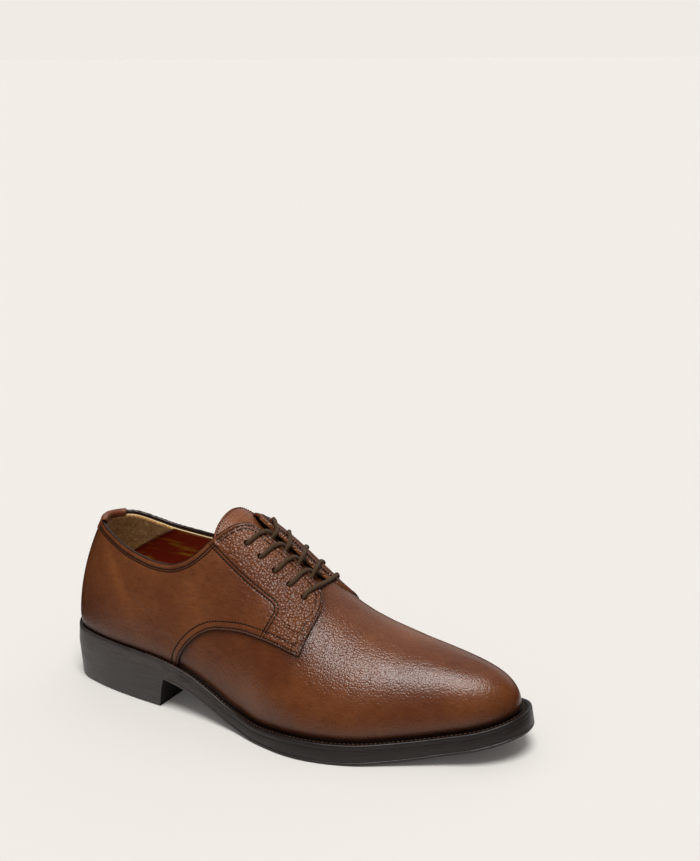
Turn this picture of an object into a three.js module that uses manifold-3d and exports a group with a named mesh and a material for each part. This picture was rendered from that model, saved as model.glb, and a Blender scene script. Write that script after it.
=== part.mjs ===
// A right-foot plain-toe derby shoe, in millimetres: +X to the toe, +Y to the inner side of the foot, +Z up.
// It stands on its heel and forefoot at z = 0, and the origin is the middle of the heel's floor face.
import * as THREE from "three";
import { mergeVertices } from "three/addons/utils/BufferGeometryUtils.js";
import Module from "manifold-3d";

const wasm = await Module();
wasm.setup();

// Driving sizes
const LENGTH = 303; // outsole, back of the heel to the toe
const BALL_WIDTH = 108.5; // outsole at the ball of the foot
const HEEL_HEIGHT = 23; // underside of the outsole at the back, above the floor
const TOE_SPRING = 15.5; // underside of the toe tip, above the floor
const SOLE_THICKNESS = 11.5; // outsole and welt together at the forefoot
const WELT_THICKNESS = 3;
const WELT_LEDGE = 6; // from the vamp out to the edge of the welt at the forefoot
const WELT_INNER = 7; // how far the welt reaches under the upper
const EDGE_FLARE = 1.4; // how much the forefoot edge widens from its top to its underside
const INSTEP_HEIGHT = 129; // top line of the last above the floor, at its highest
const CONE_SETBACK = 46; // from the back of the sole to the start of the last's top line
const TOE_SETBACK = 36; // from the toe tip to the end of the last's top line
const WALL = 1.8; // vamp leather with its lining
const QUARTER_STEP = 1.2; // quarter leather over the vamp
const TONGUE_THICKNESS = 2.2;
const INSOLE_THICKNESS = 2.5;
const HEEL_BREAST = 82; // from the back of the sole to the front face of the heel, at the floor
const BREAST_LEAN = 5; // how much further forward that face stands at its top
const HEEL_TAPER = 1.5; // how much narrower the heel is at the floor
const HEEL_REST = 40; // from the back of the sole to the middle of the heel's floor face
const LACE = 3; // diameter
const EYELET_HOLE = 3.6; // diameter
const EYELETS = 5; // on each side
const TAB_REACH = 1; // how far forward of the seam the back tab's sides come
const TAB_THICKNESS = 1;
const GAP = 0.3; // left between neighbouring pieces
const CURVED_GAP = 0.5; // left where both faces are curved
const TONGUE_GAP = 0.9; // between the tongue and the wall above it

// A table of rows becomes one list for each named column
function table(names, rows) {
  return Object.fromEntries(names.map((name, i) => [name, rows.map((row) => row[i])]));
}

// Plan of the sole's edge: at is a share of LENGTH, the widths are shares of BALL_WIDTH
const OUTLINE = table(
  ["at", "lateral", "medial"],
  [
    [0, 0, 0],
    [0.035, -0.215, 0.215],
    [0.1, -0.29, 0.29],
    [0.18, -0.331, 0.322],
    [0.27, -0.355, 0.325],
    [0.37, -0.371, 0.29],
    [0.46, -0.41, 0.3],
    [0.53, -0.468, 0.36],
    [0.6, -0.502, 0.44],
    [0.66, -0.49, 0.485],
    [0.73, -0.43, 0.498],
    [0.8, -0.327, 0.47],
    [0.87, -0.226, 0.425],
    [0.93, -0.145, 0.375],
    [0.975, -0.045, 0.29],
    [1, 0.12, 0.12],
  ],
);

// Side view of the sole: its underside as shares of HEEL_HEIGHT and of TOE_SPRING,
// and its thickness as a share of SOLE_THICKNESS
const SOLE_LINE = table(
  ["at", "heel", "spring", "thickness"],
  [
    [0, 1, 0, 1],
    [0.1, 0.965, 0, 0.975],
    [0.18, 0.94, 0, 0.98],
    [0.25, 0.9, 0, 0.985],
    [0.3, 0.81, 0, 0.99],
    [0.35, 0.65, 0, 0.96],
    [0.4, 0.415, 0, 0.9],
    [0.45, 0.175, 0, 0.84],
    [0.5, 0.03, 0, 0.83],
    [0.545, 0, 0, 0.87],
    [0.62, 0, 0, 0.975],
    [0.7, 0, 0, 1.015],
    [0.76, 0, 0.065, 1.01],
    [0.82, 0, 0.205, 0.99],
    [0.88, 0, 0.425, 0.95],
    [0.94, 0, 0.66, 0.965],
    [1, 0, 1, 1.04],
  ],
);

// How far the foot of the vamp lies inside the sole's edge, as a share of WELT_LEDGE
const LEDGE = table(
  ["at", "share"],
  [
    [0, 0.5],
    [0.12, 0.5],
    [0.3, 0.6],
    [0.45, 0.75],
    [0.6, 1],
    [0.85, 1],
    [1, 1.3],
  ],
);

// Top line of the last, from CONE_SETBACK to TOE_SETBACK: height as a share of INSTEP_HEIGHT and place across
// as a share of BALL_WIDTH. Then what shapes the sections: bulges of the two sides over the sole as shares of
// BALL_WIDTH, the upward pull of the sides as a share of the height, and how far the outer and inner halves
// run level from the top line, as shares of their width
const TOP_LINE = table(
  ["at", "height", "across", "outer_bulge", "inner_bulge", "side_pull", "outer_top", "inner_top"],
  [
    [0, 0.977, 0.018, 0.004, 0.004, 0.48, 0.405, 0.405],
    [0.12, 0.992, 0.023, 0.008, 0.008, 0.5, 0.405, 0.405],
    [0.22, 1, 0.035, 0.018, 0.02, 0.54, 0.4, 0.42],
    [0.3, 0.955, 0.046, 0.023, 0.035, 0.54, 0.41, 0.55],
    [0.38, 0.868, 0.055, 0.023, 0.06, 0.53, 0.47, 1.0],
    [0.46, 0.77, 0.062, 0.028, 0.07, 0.52, 0.53, 1.35],
    [0.54, 0.667, 0.07, 0.032, 0.055, 0.5, 0.5, 0.95],
    [0.62, 0.572, 0.078, 0.034, 0.04, 0.47, 0.48, 0.6],
    [0.7, 0.502, 0.084, 0.034, 0.034, 0.46, 0.52, 0.53],
    [0.8, 0.448, 0.09, 0.032, 0.032, 0.48, 0.57, 0.57],
    [0.9, 0.412, 0.1, 0.028, 0.028, 0.5, 0.61, 0.61],
    [1, 0.378, 0.118, 0.014, 0.014, 0.52, 0.61, 0.61],
  ],
);

// Top edge of a quarter, as a share of the girth: 0 at the sole, 0.5 on the top line.
// It is the collar up to the throat, then the edge of the facing
const COLLAR = table(
  ["at", "girth"],
  [
    [0, 0.263],
    [0.03, 0.264],
    [0.06, 0.255],
    [0.1, 0.238],
    [0.14, 0.222],
    [0.18, 0.208],
    [0.22, 0.198],
    [0.25, 0.198],
    [0.275, 0.206],
    [0.295, 0.222],
    [0.31, 0.242],
    [0.323, 0.27],
    [0.334, 0.308],
    [0.346, 0.352],
    [0.357, 0.395],
    [0.37, 0.434],
    [0.388, 0.456],
    [0.42, 0.463],
    [0.48, 0.466],
    [0.53, 0.464],
    [0.56, 0.458],
    [0.582, 0.444],
    [0.601, 0.42],
  ],
);

// Lower front edge of a quarter where it lies over the vamp. It rises from the sole at ARC_START
const ARC = table(
  ["at", "girth"],
  [
    [0, 0.09],
    [0.2, 0.08],
    [0.3, 0.03],
    [0.324, 0.02],
    [0.336, 0.05],
    [0.354, 0.08],
    [0.374, 0.108],
    [0.394, 0.13],
    [0.42, 0.151],
    [0.45, 0.173],
    [0.48, 0.19],
    [0.51, 0.203],
    [0.55, 0.214],
    [0.601, 0.222],
  ],
);
const ARC_START = 0.324;
const THROAT_END = 0.575; // the vamp closes the gap between the facings from here on
const FACING_FRONT = 0.601; // front edge of the facings
const EYELET_FIRST = 0.394;
const EYELET_LAST = 0.558;
const EYELET_GIRTH = 0.378;
const TAB_FOOT = 0.237; // the back tab's ends, as shares of the girth
const TAB_TOP = 0.26;

const LEVEL_GIRTH = 0.05; // below this girth the wall turns level

// Half width of the tongue, in shares of the girth
const TONGUE = table(
  ["at", "half"],
  [
    [0.28, 0.175],
    [0.42, 0.165],
    [0.5, 0.15],
    [0.62, 0.12],
  ],
);
const TONGUE_TOP = 0.273; // middle of its top edge
const TONGUE_LEAN = 0.047; // how much further along the last the ends of that edge are
const TONGUE_CORNER = 0.01; // and how much its corners are rounded off
const TONGUE_FREE = 0.394; // its middle lies lower from here back
const TONGUE_DROP = 8.5; // in millimetres, at the top edge
const TONGUE_FRONT = 0.62;

// Smooth line through a table's column, with steps of any size
function along(columns, name, at, stations = columns.at) {
  const values = columns[name];
  const last = stations.length - 1;
  const t = Math.min(Math.max(at, stations[0]), stations[last]);
  const slope = (k) => (values[k + 1] - values[k]) / (stations[k + 1] - stations[k]);
  const tangent = (k) => {
    if (k === 0) return slope(0);
    if (k === last) return slope(last - 1);
    const before = stations[k] - stations[k - 1];
    const after = stations[k + 1] - stations[k];
    return (slope(k) * before + slope(k - 1) * after) / (before + after);
  };
  let k = 0;
  while (k < last - 1 && t >= stations[k + 1]) k += 1;
  const span = stations[k + 1] - stations[k];
  const w = (t - stations[k]) / span;
  const w2 = w * w;
  const w3 = w2 * w;
  return (
    (2 * w3 - 3 * w2 + 1) * values[k] +
    (w3 - 2 * w2 + w) * span * tangent(k) +
    (3 * w2 - 2 * w3) * values[k + 1] +
    (w3 - w2) * span * tangent(k + 1)
  );
}

// A station u runs from 0 at the back to 1 at the toe, and is closest at both ends
const shareOf = (u) => (1 - Math.cos(Math.PI * u)) / 2;
const stationOf = (share) => Math.acos(1 - 2 * Math.min(Math.max(share, 0), 1)) / Math.PI;
const OUTLINE_STATIONS = OUTLINE.at.map(stationOf);

// Height of the sole's underside, which lies flat on the floor under the ball of the foot
const undersideAt = (x) =>
  HEEL_HEIGHT * Math.max(0, along(SOLE_LINE, "heel", x / LENGTH)) +
  TOE_SPRING * Math.max(0, along(SOLE_LINE, "spring", x / LENGTH));
const weltTopAt = (x) => undersideAt(x) + SOLE_THICKNESS * along(SOLE_LINE, "thickness", x / LENGTH);

// A point of the sole's edge in plan, moved inwards by inset. side is -1 outer, +1 inner side of the foot
function edgePoint(side, u, inset) {
  const name = side < 0 ? "lateral" : "medial";
  const at = (v) => [shareOf(v) * LENGTH, along(OUTLINE, name, v, OUTLINE_STATIONS) * BALL_WIDTH];
  const step = 1e-4;
  const [x, y] = at(u);
  const [xa, ya] = at(Math.max(u - step, 0));
  const [xb, yb] = at(Math.min(u + step, 1));
  const length = Math.hypot(xb - xa, yb - ya);
  return [x + ((yb - ya) / length) * side * inset, y - ((xb - xa) / length) * side * inset];
}
const ledgeAt = (u) => WELT_LEDGE * along(LEDGE, "share", shareOf(u));
const lastInset = (u) => ledgeAt(u) + WALL;

function topLine(u) {
  const share = shareOf(u);
  return new THREE.Vector3(
    CONE_SETBACK + (LENGTH - TOE_SETBACK - CONE_SETBACK) * share,
    along(TOP_LINE, "across", share) * BALL_WIDTH,
    along(TOP_LINE, "height", share) * INSTEP_HEIGHT,
  );
}

// The last: u from the heel to the toe, girth from 0 at the outer edge over 0.5 on top to 1 at the inner edge.
// Each half of a section is one cubic curve from the edge of the sole up to the top line
function lastPoint(u, girth) {
  const share = shareOf(u);
  const side = girth <= 0.5 ? -1 : 1;
  const t = side < 0 ? girth * 2 : (1 - girth) * 2;
  const [fx, fy] = edgePoint(side, u, lastInset(u));
  const fz = weltTopAt(fx) + CURVED_GAP;
  const top = topLine(u);
  const step = 1e-3;
  const before = topLine(Math.max(u - step, 0));
  const after = topLine(Math.min(u + step, 1));
  const rise = (after.z - before.z) / (after.x - before.x);
  const reach = Math.hypot(fx - top.x, fy - top.y);
  const dx = (fx - top.x) / reach;
  const dy = (fy - top.y) / reach;
  const half = side < 0 ? "outer" : "inner";
  const bulge = along(TOP_LINE, `${half}_bulge`, share) * BALL_WIDTH;
  const level = along(TOP_LINE, `${half}_top`, share) * reach;
  const foot = new THREE.Vector3(fx, fy, fz);
  const low = new THREE.Vector3(
    fx + dx * bulge,
    fy + dy * bulge,
    fz + along(TOP_LINE, "side_pull", share) * (top.z - fz),
  );
  const high = new THREE.Vector3(top.x + dx * level, top.y + dy * level, top.z + rise * dx * level);
  return new THREE.CubicBezierCurve3(foot, low, high, top).getPoint(t);
}

// Outward normal of the last. Both sides share one at the heel and at the toe, and at the sole's edge it is level
function lastNormal(u, girth) {
  const step = 2e-3;
  const inner = Math.min(Math.max(u, step), 1 - step);
  const one = (g) => {
    const du = lastPoint(inner + step / 2, g).sub(lastPoint(inner - step / 2, g));
    const dg = lastPoint(inner, Math.min(g + step, 1)).sub(lastPoint(inner, Math.max(g - step, 0)));
    return du.cross(dg).normalize();
  };
  const normal = one(girth);
  if (u <= 0 || u >= 1) normal.add(one(1 - girth));
  const fromEdge = Math.min(girth, 1 - girth);
  normal.z *= Math.min(1, fromEdge / LEVEL_GIRTH);
  return normal.normalize();
}

// A point outside the last by an offset. At the foot of the wall it keeps to the welt
function offLast(u, girth, offset) {
  const point = lastPoint(u, girth).addScaledVector(lastNormal(u, girth), offset);
  if (girth <= 0 || girth >= 1) point.z = weltTopAt(point.x) + CURVED_GAP;
  return point;
}

// How a grid's ends join: "same" gives the corner that a corner is welded to,
// and "beyond" the cell that follows past an end
const OPEN = { same: (i, j) => [i, j], beyond: () => null };
const looped = (columns) => ({
  same: (i, j) => [i % columns, j],
  beyond: (i, j) => [(i + columns) % columns, j],
});
const folded = (columns, rows) => ({
  same: (i, j) => (i === 0 || i === columns ? [i, Math.min(j, rows - j)] : [i, j]),
  beyond: (i, j) => [Math.min(Math.max(i, 0), columns - 1), rows - 1 - j],
});
const pinched = (columns) => ({
  same: (i, j) => (i === 0 || i === columns ? [i, 0] : [i, j]),
  beyond: () => null,
});

// A closed solid from a grid of cells. Each cell fills from layer 0 up to its own layer, and 0 leaves it empty
function cellSolid(columns, rows, ends, point, layerOf = () => 1) {
  const positions = [];
  const numbers = new Map();
  const triangles = [];
  const corner = ([i, j], layer) => {
    const [a, b] = ends.same(i, j);
    const key = `${a},${b},${layer}`;
    if (!numbers.has(key)) {
      numbers.set(key, positions.length / 3);
      positions.push(...point(a, b, layer).toArray());
    }
    return numbers.get(key);
  };
  const quad = (a, b, c, d) => {
    if (a !== b && b !== c && c !== a) triangles.push(a, b, c);
    if (a !== c && c !== d && d !== a) triangles.push(a, c, d);
  };
  const layerBeyond = (i, j) => {
    if (j < 0 || j >= rows) return 0;
    const cell = i < 0 || i >= columns ? ends.beyond(i, j) : [i, j];
    return cell ? layerOf(...cell) : 0;
  };
  for (let i = 0; i < columns; i += 1)
    for (let j = 0; j < rows; j += 1) {
      const high = layerOf(i, j);
      if (high === 0) continue;
      const ring = [
        [i, j],
        [i + 1, j],
        [i + 1, j + 1],
        [i, j + 1],
      ];
      quad(...ring.map((c) => corner(c, high)));
      quad(...ring.map((c) => corner(c, 0)).reverse());
      const lows = [layerBeyond(i, j - 1), layerBeyond(i + 1, j), layerBeyond(i, j + 1), layerBeyond(i - 1, j)];
      lows.forEach((low, side) => {
        const from = ring[side];
        const to = ring[(side + 1) % 4];
        for (let layer = low; layer < high; layer += 1)
          quad(corner(from, layer), corner(to, layer), corner(to, layer + 1), corner(from, layer + 1));
      });
    }
  return new THREE.BufferGeometry()
    .setAttribute("position", new THREE.Float32BufferAttribute(positions, 3))
    .setIndex(triangles);
}

// Steps from one value to another
const steps = (from, to, count) => Array.from({ length: count + 1 }, (_, k) => from + ((to - from) * k) / count);

// Joins and cuts
function toSolid(geometry) {
  const bare = geometry.clone();
  bare.deleteAttribute("normal");
  bare.deleteAttribute("uv");
  const merged = mergeVertices(bare, 1e-4);
  return new wasm.Manifold(
    new wasm.Mesh({
      numProp: 3,
      vertProperties: merged.attributes.position.array,
      triVerts: new Uint32Array(merged.index.array),
    }),
  );
}
function fromSolid(solid) {
  const mesh = solid.getMesh();
  return new THREE.BufferGeometry()
    .setAttribute("position", new THREE.BufferAttribute(mesh.vertProperties, 3))
    .setIndex(new THREE.BufferAttribute(mesh.triVerts, 1));
}

// Finishes, as seen on the outside
const finish = (color, roughness) => new THREE.MeshStandardMaterial({ color, roughness, metalness: 0 });
const LEATHER = finish(0x7a4526, 0.45);
const TONGUE_LEATHER = finish(0x6b3b21, 0.5);
const SOLE_EDGE = finish(0x37302c, 0.55);
const INSOLE_LEATHER = finish(0x6b5a3c, 0.8);
const CORD = finish(0x574430, 0.85);

const shoe = new THREE.Group();
shoe.position.set(-HEEL_REST, 0, 0);
function add(name, geometry, material) {
  geometry.computeVertexNormals();
  const mesh = new THREE.Mesh(geometry, material);
  mesh.name = name;
  shoe.add(mesh);
}

// Sole
const soleStations = steps(0, 1, 56);

function plate(stations, insets, heights) {
  const columns = stations.length - 1;
  return cellSolid(columns, 2, pinched(columns), (i, j, layer) => {
    const inset = insets[layer](stations[i]);
    const [lx, ly] = edgePoint(-1, stations[i], inset);
    const [mx, my] = edgePoint(1, stations[i], inset);
    const x = lx + ((mx - lx) * j) / 2;
    return new THREE.Vector3(x, ly + ((my - ly) * j) / 2, heights[layer](x));
  });
}

const flareAt = (u) => (EDGE_FLARE * ledgeAt(u)) / WELT_LEDGE;
const outsoleTopAt = (x) => weltTopAt(x) - WELT_THICKNESS - GAP;
const outsoleFlare = (u) => (flareAt(u) * (SOLE_THICKNESS - WELT_THICKNESS)) / SOLE_THICKNESS;

function outsole() {
  return plate(soleStations, [() => 0, outsoleFlare], [undersideAt, outsoleTopAt]);
}

function insole() {
  const inset = (u) => lastInset(u) + CURVED_GAP;
  const bottomAt = (x) => weltTopAt(x) + CURVED_GAP;
  return plate(soleStations, [inset, inset], [bottomAt, (x) => bottomAt(x) + INSOLE_THICKNESS]);
}

function welt() {
  const columns = 2 * (soleStations.length - 1);
  const half = columns / 2;
  return cellSolid(columns, 2, looped(columns), (i, j, layer) => {
    const side = i <= half ? -1 : 1;
    const u = soleStations[i <= half ? i : columns - i];
    const outer = layer === 0 ? outsoleFlare(u) : flareAt(u);
    const inner = lastInset(u) + WELT_INNER;
    const [x, y] = edgePoint(side, u, outer + ((inner - outer) * j) / 2);
    return new THREE.Vector3(x, y, weltTopAt(x) - (layer === 0 ? WELT_THICKNESS : 0));
  });
}

function heel() {
  const columns = 16;
  const ends = { ...OPEN, same: (i, j) => (i === 0 ? [0, 0] : [i, j]) };
  return cellSolid(columns, 2, ends, (i, j, layer) => {
    const breast = HEEL_BREAST + BREAST_LEAN * layer;
    const u = (stationOf(breast / LENGTH) * i) / columns;
    const inset = layer === 0 ? HEEL_TAPER : 0;
    const [lx, ly] = edgePoint(-1, u, inset);
    const [mx, my] = edgePoint(1, u, inset);
    const x = lx + ((mx - lx) * j) / 2;
    return new THREE.Vector3(x, ly + ((my - ly) * j) / 2, layer === 0 ? 0 : undersideAt(x) - GAP);
  });
}

// Upper: one wall, with the quarters as a step over the vamp, open at the collar, the throat and underneath
const LOW_ROWS = 4;
const QUARTER_ROWS = 7;
const THROAT_ROWS = 2;
const HALF_ROWS = LOW_ROWS + QUARTER_ROWS + THROAT_ROWS;
const UPPER_OFFSETS = [0, WALL, WALL + QUARTER_STEP];
const COLLAR_RISE = 0.29; // the collar turns up to the facings between these two shares of the length
const COLLAR_CREST = 0.4;

const upperStations = [
  ...steps(0, stationOf(COLLAR_RISE), 13),
  ...steps(COLLAR_RISE, ARC_START, 3).slice(1).map(stationOf),
  ...steps(ARC_START, COLLAR_CREST, 6).slice(1).map(stationOf),
  ...steps(COLLAR_CREST, THROAT_END, 6).slice(1).map(stationOf),
  stationOf(FACING_FRONT),
  ...steps(stationOf(FACING_FRONT), 1, 13).slice(1),
];

function rowGirth(u, j) {
  if (j > HALF_ROWS) return 1 - rowGirth(u, 2 * HALF_ROWS - j);
  const share = Math.min(shareOf(u), FACING_FRONT);
  const low = along(ARC, "girth", share);
  const top = along(COLLAR, "girth", share);
  if (j <= LOW_ROWS) return (low * j) / LOW_ROWS;
  if (j <= LOW_ROWS + QUARTER_ROWS) return low + ((top - low) * (j - LOW_ROWS)) / QUARTER_ROWS;
  return top + ((0.5 - top) * (j - LOW_ROWS - QUARTER_ROWS)) / THROAT_ROWS;
}

function upperLayer(i, j) {
  const row = Math.min(j, 2 * HALF_ROWS - 1 - j);
  const share = shareOf((upperStations[i] + upperStations[i + 1]) / 2);
  if (row >= LOW_ROWS + QUARTER_ROWS) return share < THROAT_END ? 0 : 1;
  if (share > FACING_FRONT) return 1;
  return row < LOW_ROWS && share > ARC_START ? 1 : 2;
}

// The eyelets of one side, from the collar down: station, girth
const eyelets = (side) =>
  steps(EYELET_FIRST, EYELET_LAST, EYELETS - 1).map((share) => [
    stationOf(share),
    side < 0 ? EYELET_GIRTH : 1 - EYELET_GIRTH,
  ]);

function eyeletDrill([u, girth]) {
  const length = 4 * (WALL + QUARTER_STEP);
  const turn = new THREE.Quaternion().setFromUnitVectors(new THREE.Vector3(0, 1, 0), lastNormal(u, girth));
  const drill = new THREE.CylinderGeometry(EYELET_HOLE / 2, EYELET_HOLE / 2, length, 10);
  drill.applyQuaternion(turn);
  drill.translate(...lastPoint(u, girth).toArray());
  return toSolid(drill);
}

function upper() {
  const columns = upperStations.length - 1;
  const rows = 2 * HALF_ROWS;
  const point = (i, j, layer) => offLast(upperStations[i], rowGirth(upperStations[i], j), UPPER_OFFSETS[layer]);
  const wall = toSolid(cellSolid(columns, rows, folded(columns, rows), point, upperLayer));
  const holes = [...eyelets(-1), ...eyelets(1)].map(eyeletDrill);
  return fromSolid(holes.reduce((cut, hole) => cut.subtract(hole), wall));
}

// Tongue, under the facings. Its free end runs straight across and lies flatter than the last
function tongue() {
  const columns = 13;
  const rows = 8;
  return cellSolid(columns, rows, OPEN, (i, j, layer) => {
    const across = (2 * j) / rows - 1;
    const top = TONGUE_TOP + TONGUE_LEAN * Math.abs(across) + TONGUE_CORNER * across ** 6;
    const share = top + ((TONGUE_FRONT - top) * i) / columns;
    const girth = 0.5 + along(TONGUE, "half", share) * across;
    const point = offLast(stationOf(share), girth, -TONGUE_GAP - (layer === 0 ? TONGUE_THICKNESS : 0));
    const free = Math.max(0, (TONGUE_FREE - share) / (TONGUE_FREE - TONGUE_TOP));
    point.z -= TONGUE_DROP * free * (1 - across ** 2);
    return point;
  });
}

// Tab over the top of the back seam, from one side round to the other
function backTab() {
  const columns = 4;
  const reach = stationOf(TAB_REACH / LENGTH);
  return cellSolid(columns, 2, OPEN, (i, j, layer) => {
    const around = 1 - (2 * i) / columns;
    const girth = TAB_FOOT + ((TAB_TOP - TAB_FOOT) * j) / 2;
    const offset = WALL + QUARTER_STEP + GAP + layer * TAB_THICKNESS;
    return offLast(Math.abs(around) * reach, around < 0 ? girth : 1 - girth, offset);
  });
}

// Laces
const LACE_OVER = WALL + QUARTER_STEP + CURVED_GAP + LACE / 2; // centre of a lace on a facing, above the last
const LACE_IN_GAP = LACE_OVER - LACE / 2; // centre of a crossing, between the facings
const LACE_EDGE_GIRTH = 0.468; // where a lace leaves the facing
const LACE_SIDES = 8;

function cord(points, count) {
  const round = new THREE.Shape();
  steps(0, 2 * Math.PI, LACE_SIDES)
    .slice(0, -1)
    .forEach((a, k) => round[k ? "lineTo" : "moveTo"]((LACE / 2) * Math.cos(a), (LACE / 2) * Math.sin(a)));
  round.closePath();
  return toSolid(
    new THREE.ExtrudeGeometry(round, {
      steps: count,
      bevelEnabled: false,
      extrudePath: new THREE.CatmullRomCurve3(points),
    }),
  );
}

const sideGirth = (side, girth) => (side < 0 ? girth : 1 - girth);
const LACE_MID_GIRTH = (EYELET_GIRTH + LACE_EDGE_GIRTH) / 2;

// Straight bar over the lowest pair of eyelets
function laceBar() {
  const [u] = eyelets(-1)[EYELETS - 1];
  const half = (side) =>
    [EYELET_GIRTH, LACE_MID_GIRTH, LACE_EDGE_GIRTH].map((girth) => offLast(u, sideGirth(side, girth), LACE_OVER));
  return fromSolid(cord([...half(-1), ...half(1).reverse()], 12));
}

// Two strands from a pair of eyelets, over the facings, joined where they cross in the gap halfway to the next pair
function laceCross(k) {
  const pitch = (EYELET_LAST - EYELET_FIRST) / (EYELETS - 1);
  const place = (side, pitches, girth, offset) =>
    offLast(stationOf(EYELET_FIRST + pitch * (k + pitches)), sideGirth(side, girth), offset);
  const strand = (side) =>
    cord(
      [
        place(side, 0, EYELET_GIRTH, LACE_OVER),
        place(side, 0.12, LACE_MID_GIRTH, LACE_OVER),
        place(side, 0.32, LACE_EDGE_GIRTH, LACE_OVER),
        place(side, 0.5, 0.5, LACE_IN_GAP),
      ],
      9,
    );
  return fromSolid(strand(-1).add(strand(1)));
}

add("outsole", outsole(), SOLE_EDGE);
add("welt", welt(), SOLE_EDGE);
add("heel", heel(), SOLE_EDGE);
add("insole", insole(), INSOLE_LEATHER);
add("upper", upper(), LEATHER);
add("tongue", tongue(), TONGUE_LEATHER);
add("back_tab", backTab(), LEATHER);
add("lace_bar", laceBar(), CORD);
for (let k = 0; k < EYELETS - 1; k += 1) add(`lace_cross_${k + 1}`, laceCross(k), CORD);

export default shoe;
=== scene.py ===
from types import SimpleNamespace

import bmesh
import bpy
import numpy as np
from mathutils import Matrix, Vector


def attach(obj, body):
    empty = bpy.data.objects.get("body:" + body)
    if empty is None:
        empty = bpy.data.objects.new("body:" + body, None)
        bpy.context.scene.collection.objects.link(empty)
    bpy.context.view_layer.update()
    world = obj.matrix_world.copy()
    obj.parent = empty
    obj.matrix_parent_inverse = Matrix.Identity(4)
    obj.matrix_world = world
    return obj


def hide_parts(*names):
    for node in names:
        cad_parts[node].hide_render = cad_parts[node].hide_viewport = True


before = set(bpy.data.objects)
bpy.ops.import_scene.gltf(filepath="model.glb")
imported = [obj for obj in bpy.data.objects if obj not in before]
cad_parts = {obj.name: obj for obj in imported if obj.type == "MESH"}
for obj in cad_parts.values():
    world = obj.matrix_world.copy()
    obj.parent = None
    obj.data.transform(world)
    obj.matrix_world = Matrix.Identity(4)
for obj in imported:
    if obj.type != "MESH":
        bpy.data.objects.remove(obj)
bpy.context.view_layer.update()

IMAGE_HEIGHT = 861
FOCAL_PIXELS = 1388.03
MM = 0.001

# Driving sizes, as in the solids
LENGTH = 303.0
BALL_WIDTH = 108.5
HEEL_HEIGHT = 23.0
TOE_SPRING = 15.5
SOLE_THICKNESS = 11.5
WELT_THICKNESS = 3.0
WELT_LEDGE = 6.0
WELT_INNER = 7.0
EDGE_FLARE = 1.4
INSTEP_HEIGHT = 129.0
CONE_SETBACK = 46.0
TOE_SETBACK = 36.0
WALL = 1.8
QUARTER_STEP = 1.2
INSOLE_THICKNESS = 2.5
HEEL_BREAST = 82.0
BREAST_LEAN = 5.0
HEEL_TAPER = 1.5
HEEL_REST = 40.0
GAP = 0.3


def table(names, rows):
    """Named columns from rows."""
    return dict(zip(names, np.array(rows, float).T))


# Plan of the sole's edge: shares of LENGTH, then of BALL_WIDTH
OUTLINE = table(
    ["at", "lateral", "medial"],
    [
        [0, 0, 0],
        [0.035, -0.215, 0.215],
        [0.1, -0.29, 0.29],
        [0.18, -0.331, 0.322],
        [0.27, -0.355, 0.325],
        [0.37, -0.371, 0.29],
        [0.46, -0.41, 0.3],
        [0.53, -0.468, 0.36],
        [0.6, -0.502, 0.44],
        [0.66, -0.49, 0.485],
        [0.73, -0.43, 0.498],
        [0.8, -0.327, 0.47],
        [0.87, -0.226, 0.425],
        [0.93, -0.145, 0.375],
        [0.975, -0.045, 0.29],
        [1, 0.12, 0.12],
    ],
)

# Side view of the sole: shares of HEEL_HEIGHT, of TOE_SPRING and of SOLE_THICKNESS
SOLE_LINE = table(
    ["at", "heel", "spring", "thickness"],
    [
        [0, 1, 0, 1],
        [0.1, 0.965, 0, 0.975],
        [0.18, 0.94, 0, 0.98],
        [0.25, 0.9, 0, 0.985],
        [0.3, 0.81, 0, 0.99],
        [0.35, 0.65, 0, 0.96],
        [0.4, 0.415, 0, 0.9],
        [0.45, 0.175, 0, 0.84],
        [0.5, 0.03, 0, 0.83],
        [0.545, 0, 0, 0.87],
        [0.62, 0, 0, 0.975],
        [0.7, 0, 0, 1.015],
        [0.76, 0, 0.065, 1.01],
        [0.82, 0, 0.205, 0.99],
        [0.88, 0, 0.425, 0.95],
        [0.94, 0, 0.66, 0.965],
        [1, 0, 1, 1.04],
    ],
)

# Width of the welt that shows, as a share of WELT_LEDGE
LEDGE = table(
    ["at", "share"],
    [[0, 0.5], [0.12, 0.5], [0.3, 0.6], [0.45, 0.75], [0.6, 1], [0.85, 1], [1, 1.3]],
)

# Top line of the last and what shapes its sections
TOP_LINE = table(
    ["at", "height", "across", "outer_bulge", "inner_bulge", "side_pull", "outer_top", "inner_top"],
    [
        [0, 0.977, 0.018, 0.004, 0.004, 0.48, 0.405, 0.405],
        [0.12, 0.992, 0.023, 0.008, 0.008, 0.5, 0.405, 0.405],
        [0.22, 1, 0.035, 0.018, 0.02, 0.54, 0.4, 0.42],
        [0.3, 0.955, 0.046, 0.023, 0.035, 0.54, 0.41, 0.55],
        [0.38, 0.868, 0.055, 0.023, 0.06, 0.53, 0.47, 1.0],
        [0.46, 0.77, 0.062, 0.028, 0.07, 0.52, 0.53, 1.35],
        [0.54, 0.667, 0.07, 0.032, 0.055, 0.5, 0.5, 0.95],
        [0.62, 0.572, 0.078, 0.034, 0.04, 0.47, 0.48, 0.6],
        [0.7, 0.502, 0.084, 0.034, 0.034, 0.46, 0.52, 0.53],
        [0.8, 0.448, 0.09, 0.032, 0.032, 0.48, 0.57, 0.57],
        [0.9, 0.412, 0.1, 0.028, 0.028, 0.5, 0.61, 0.61],
        [1, 0.378, 0.118, 0.014, 0.014, 0.52, 0.61, 0.61],
    ],
)

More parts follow.
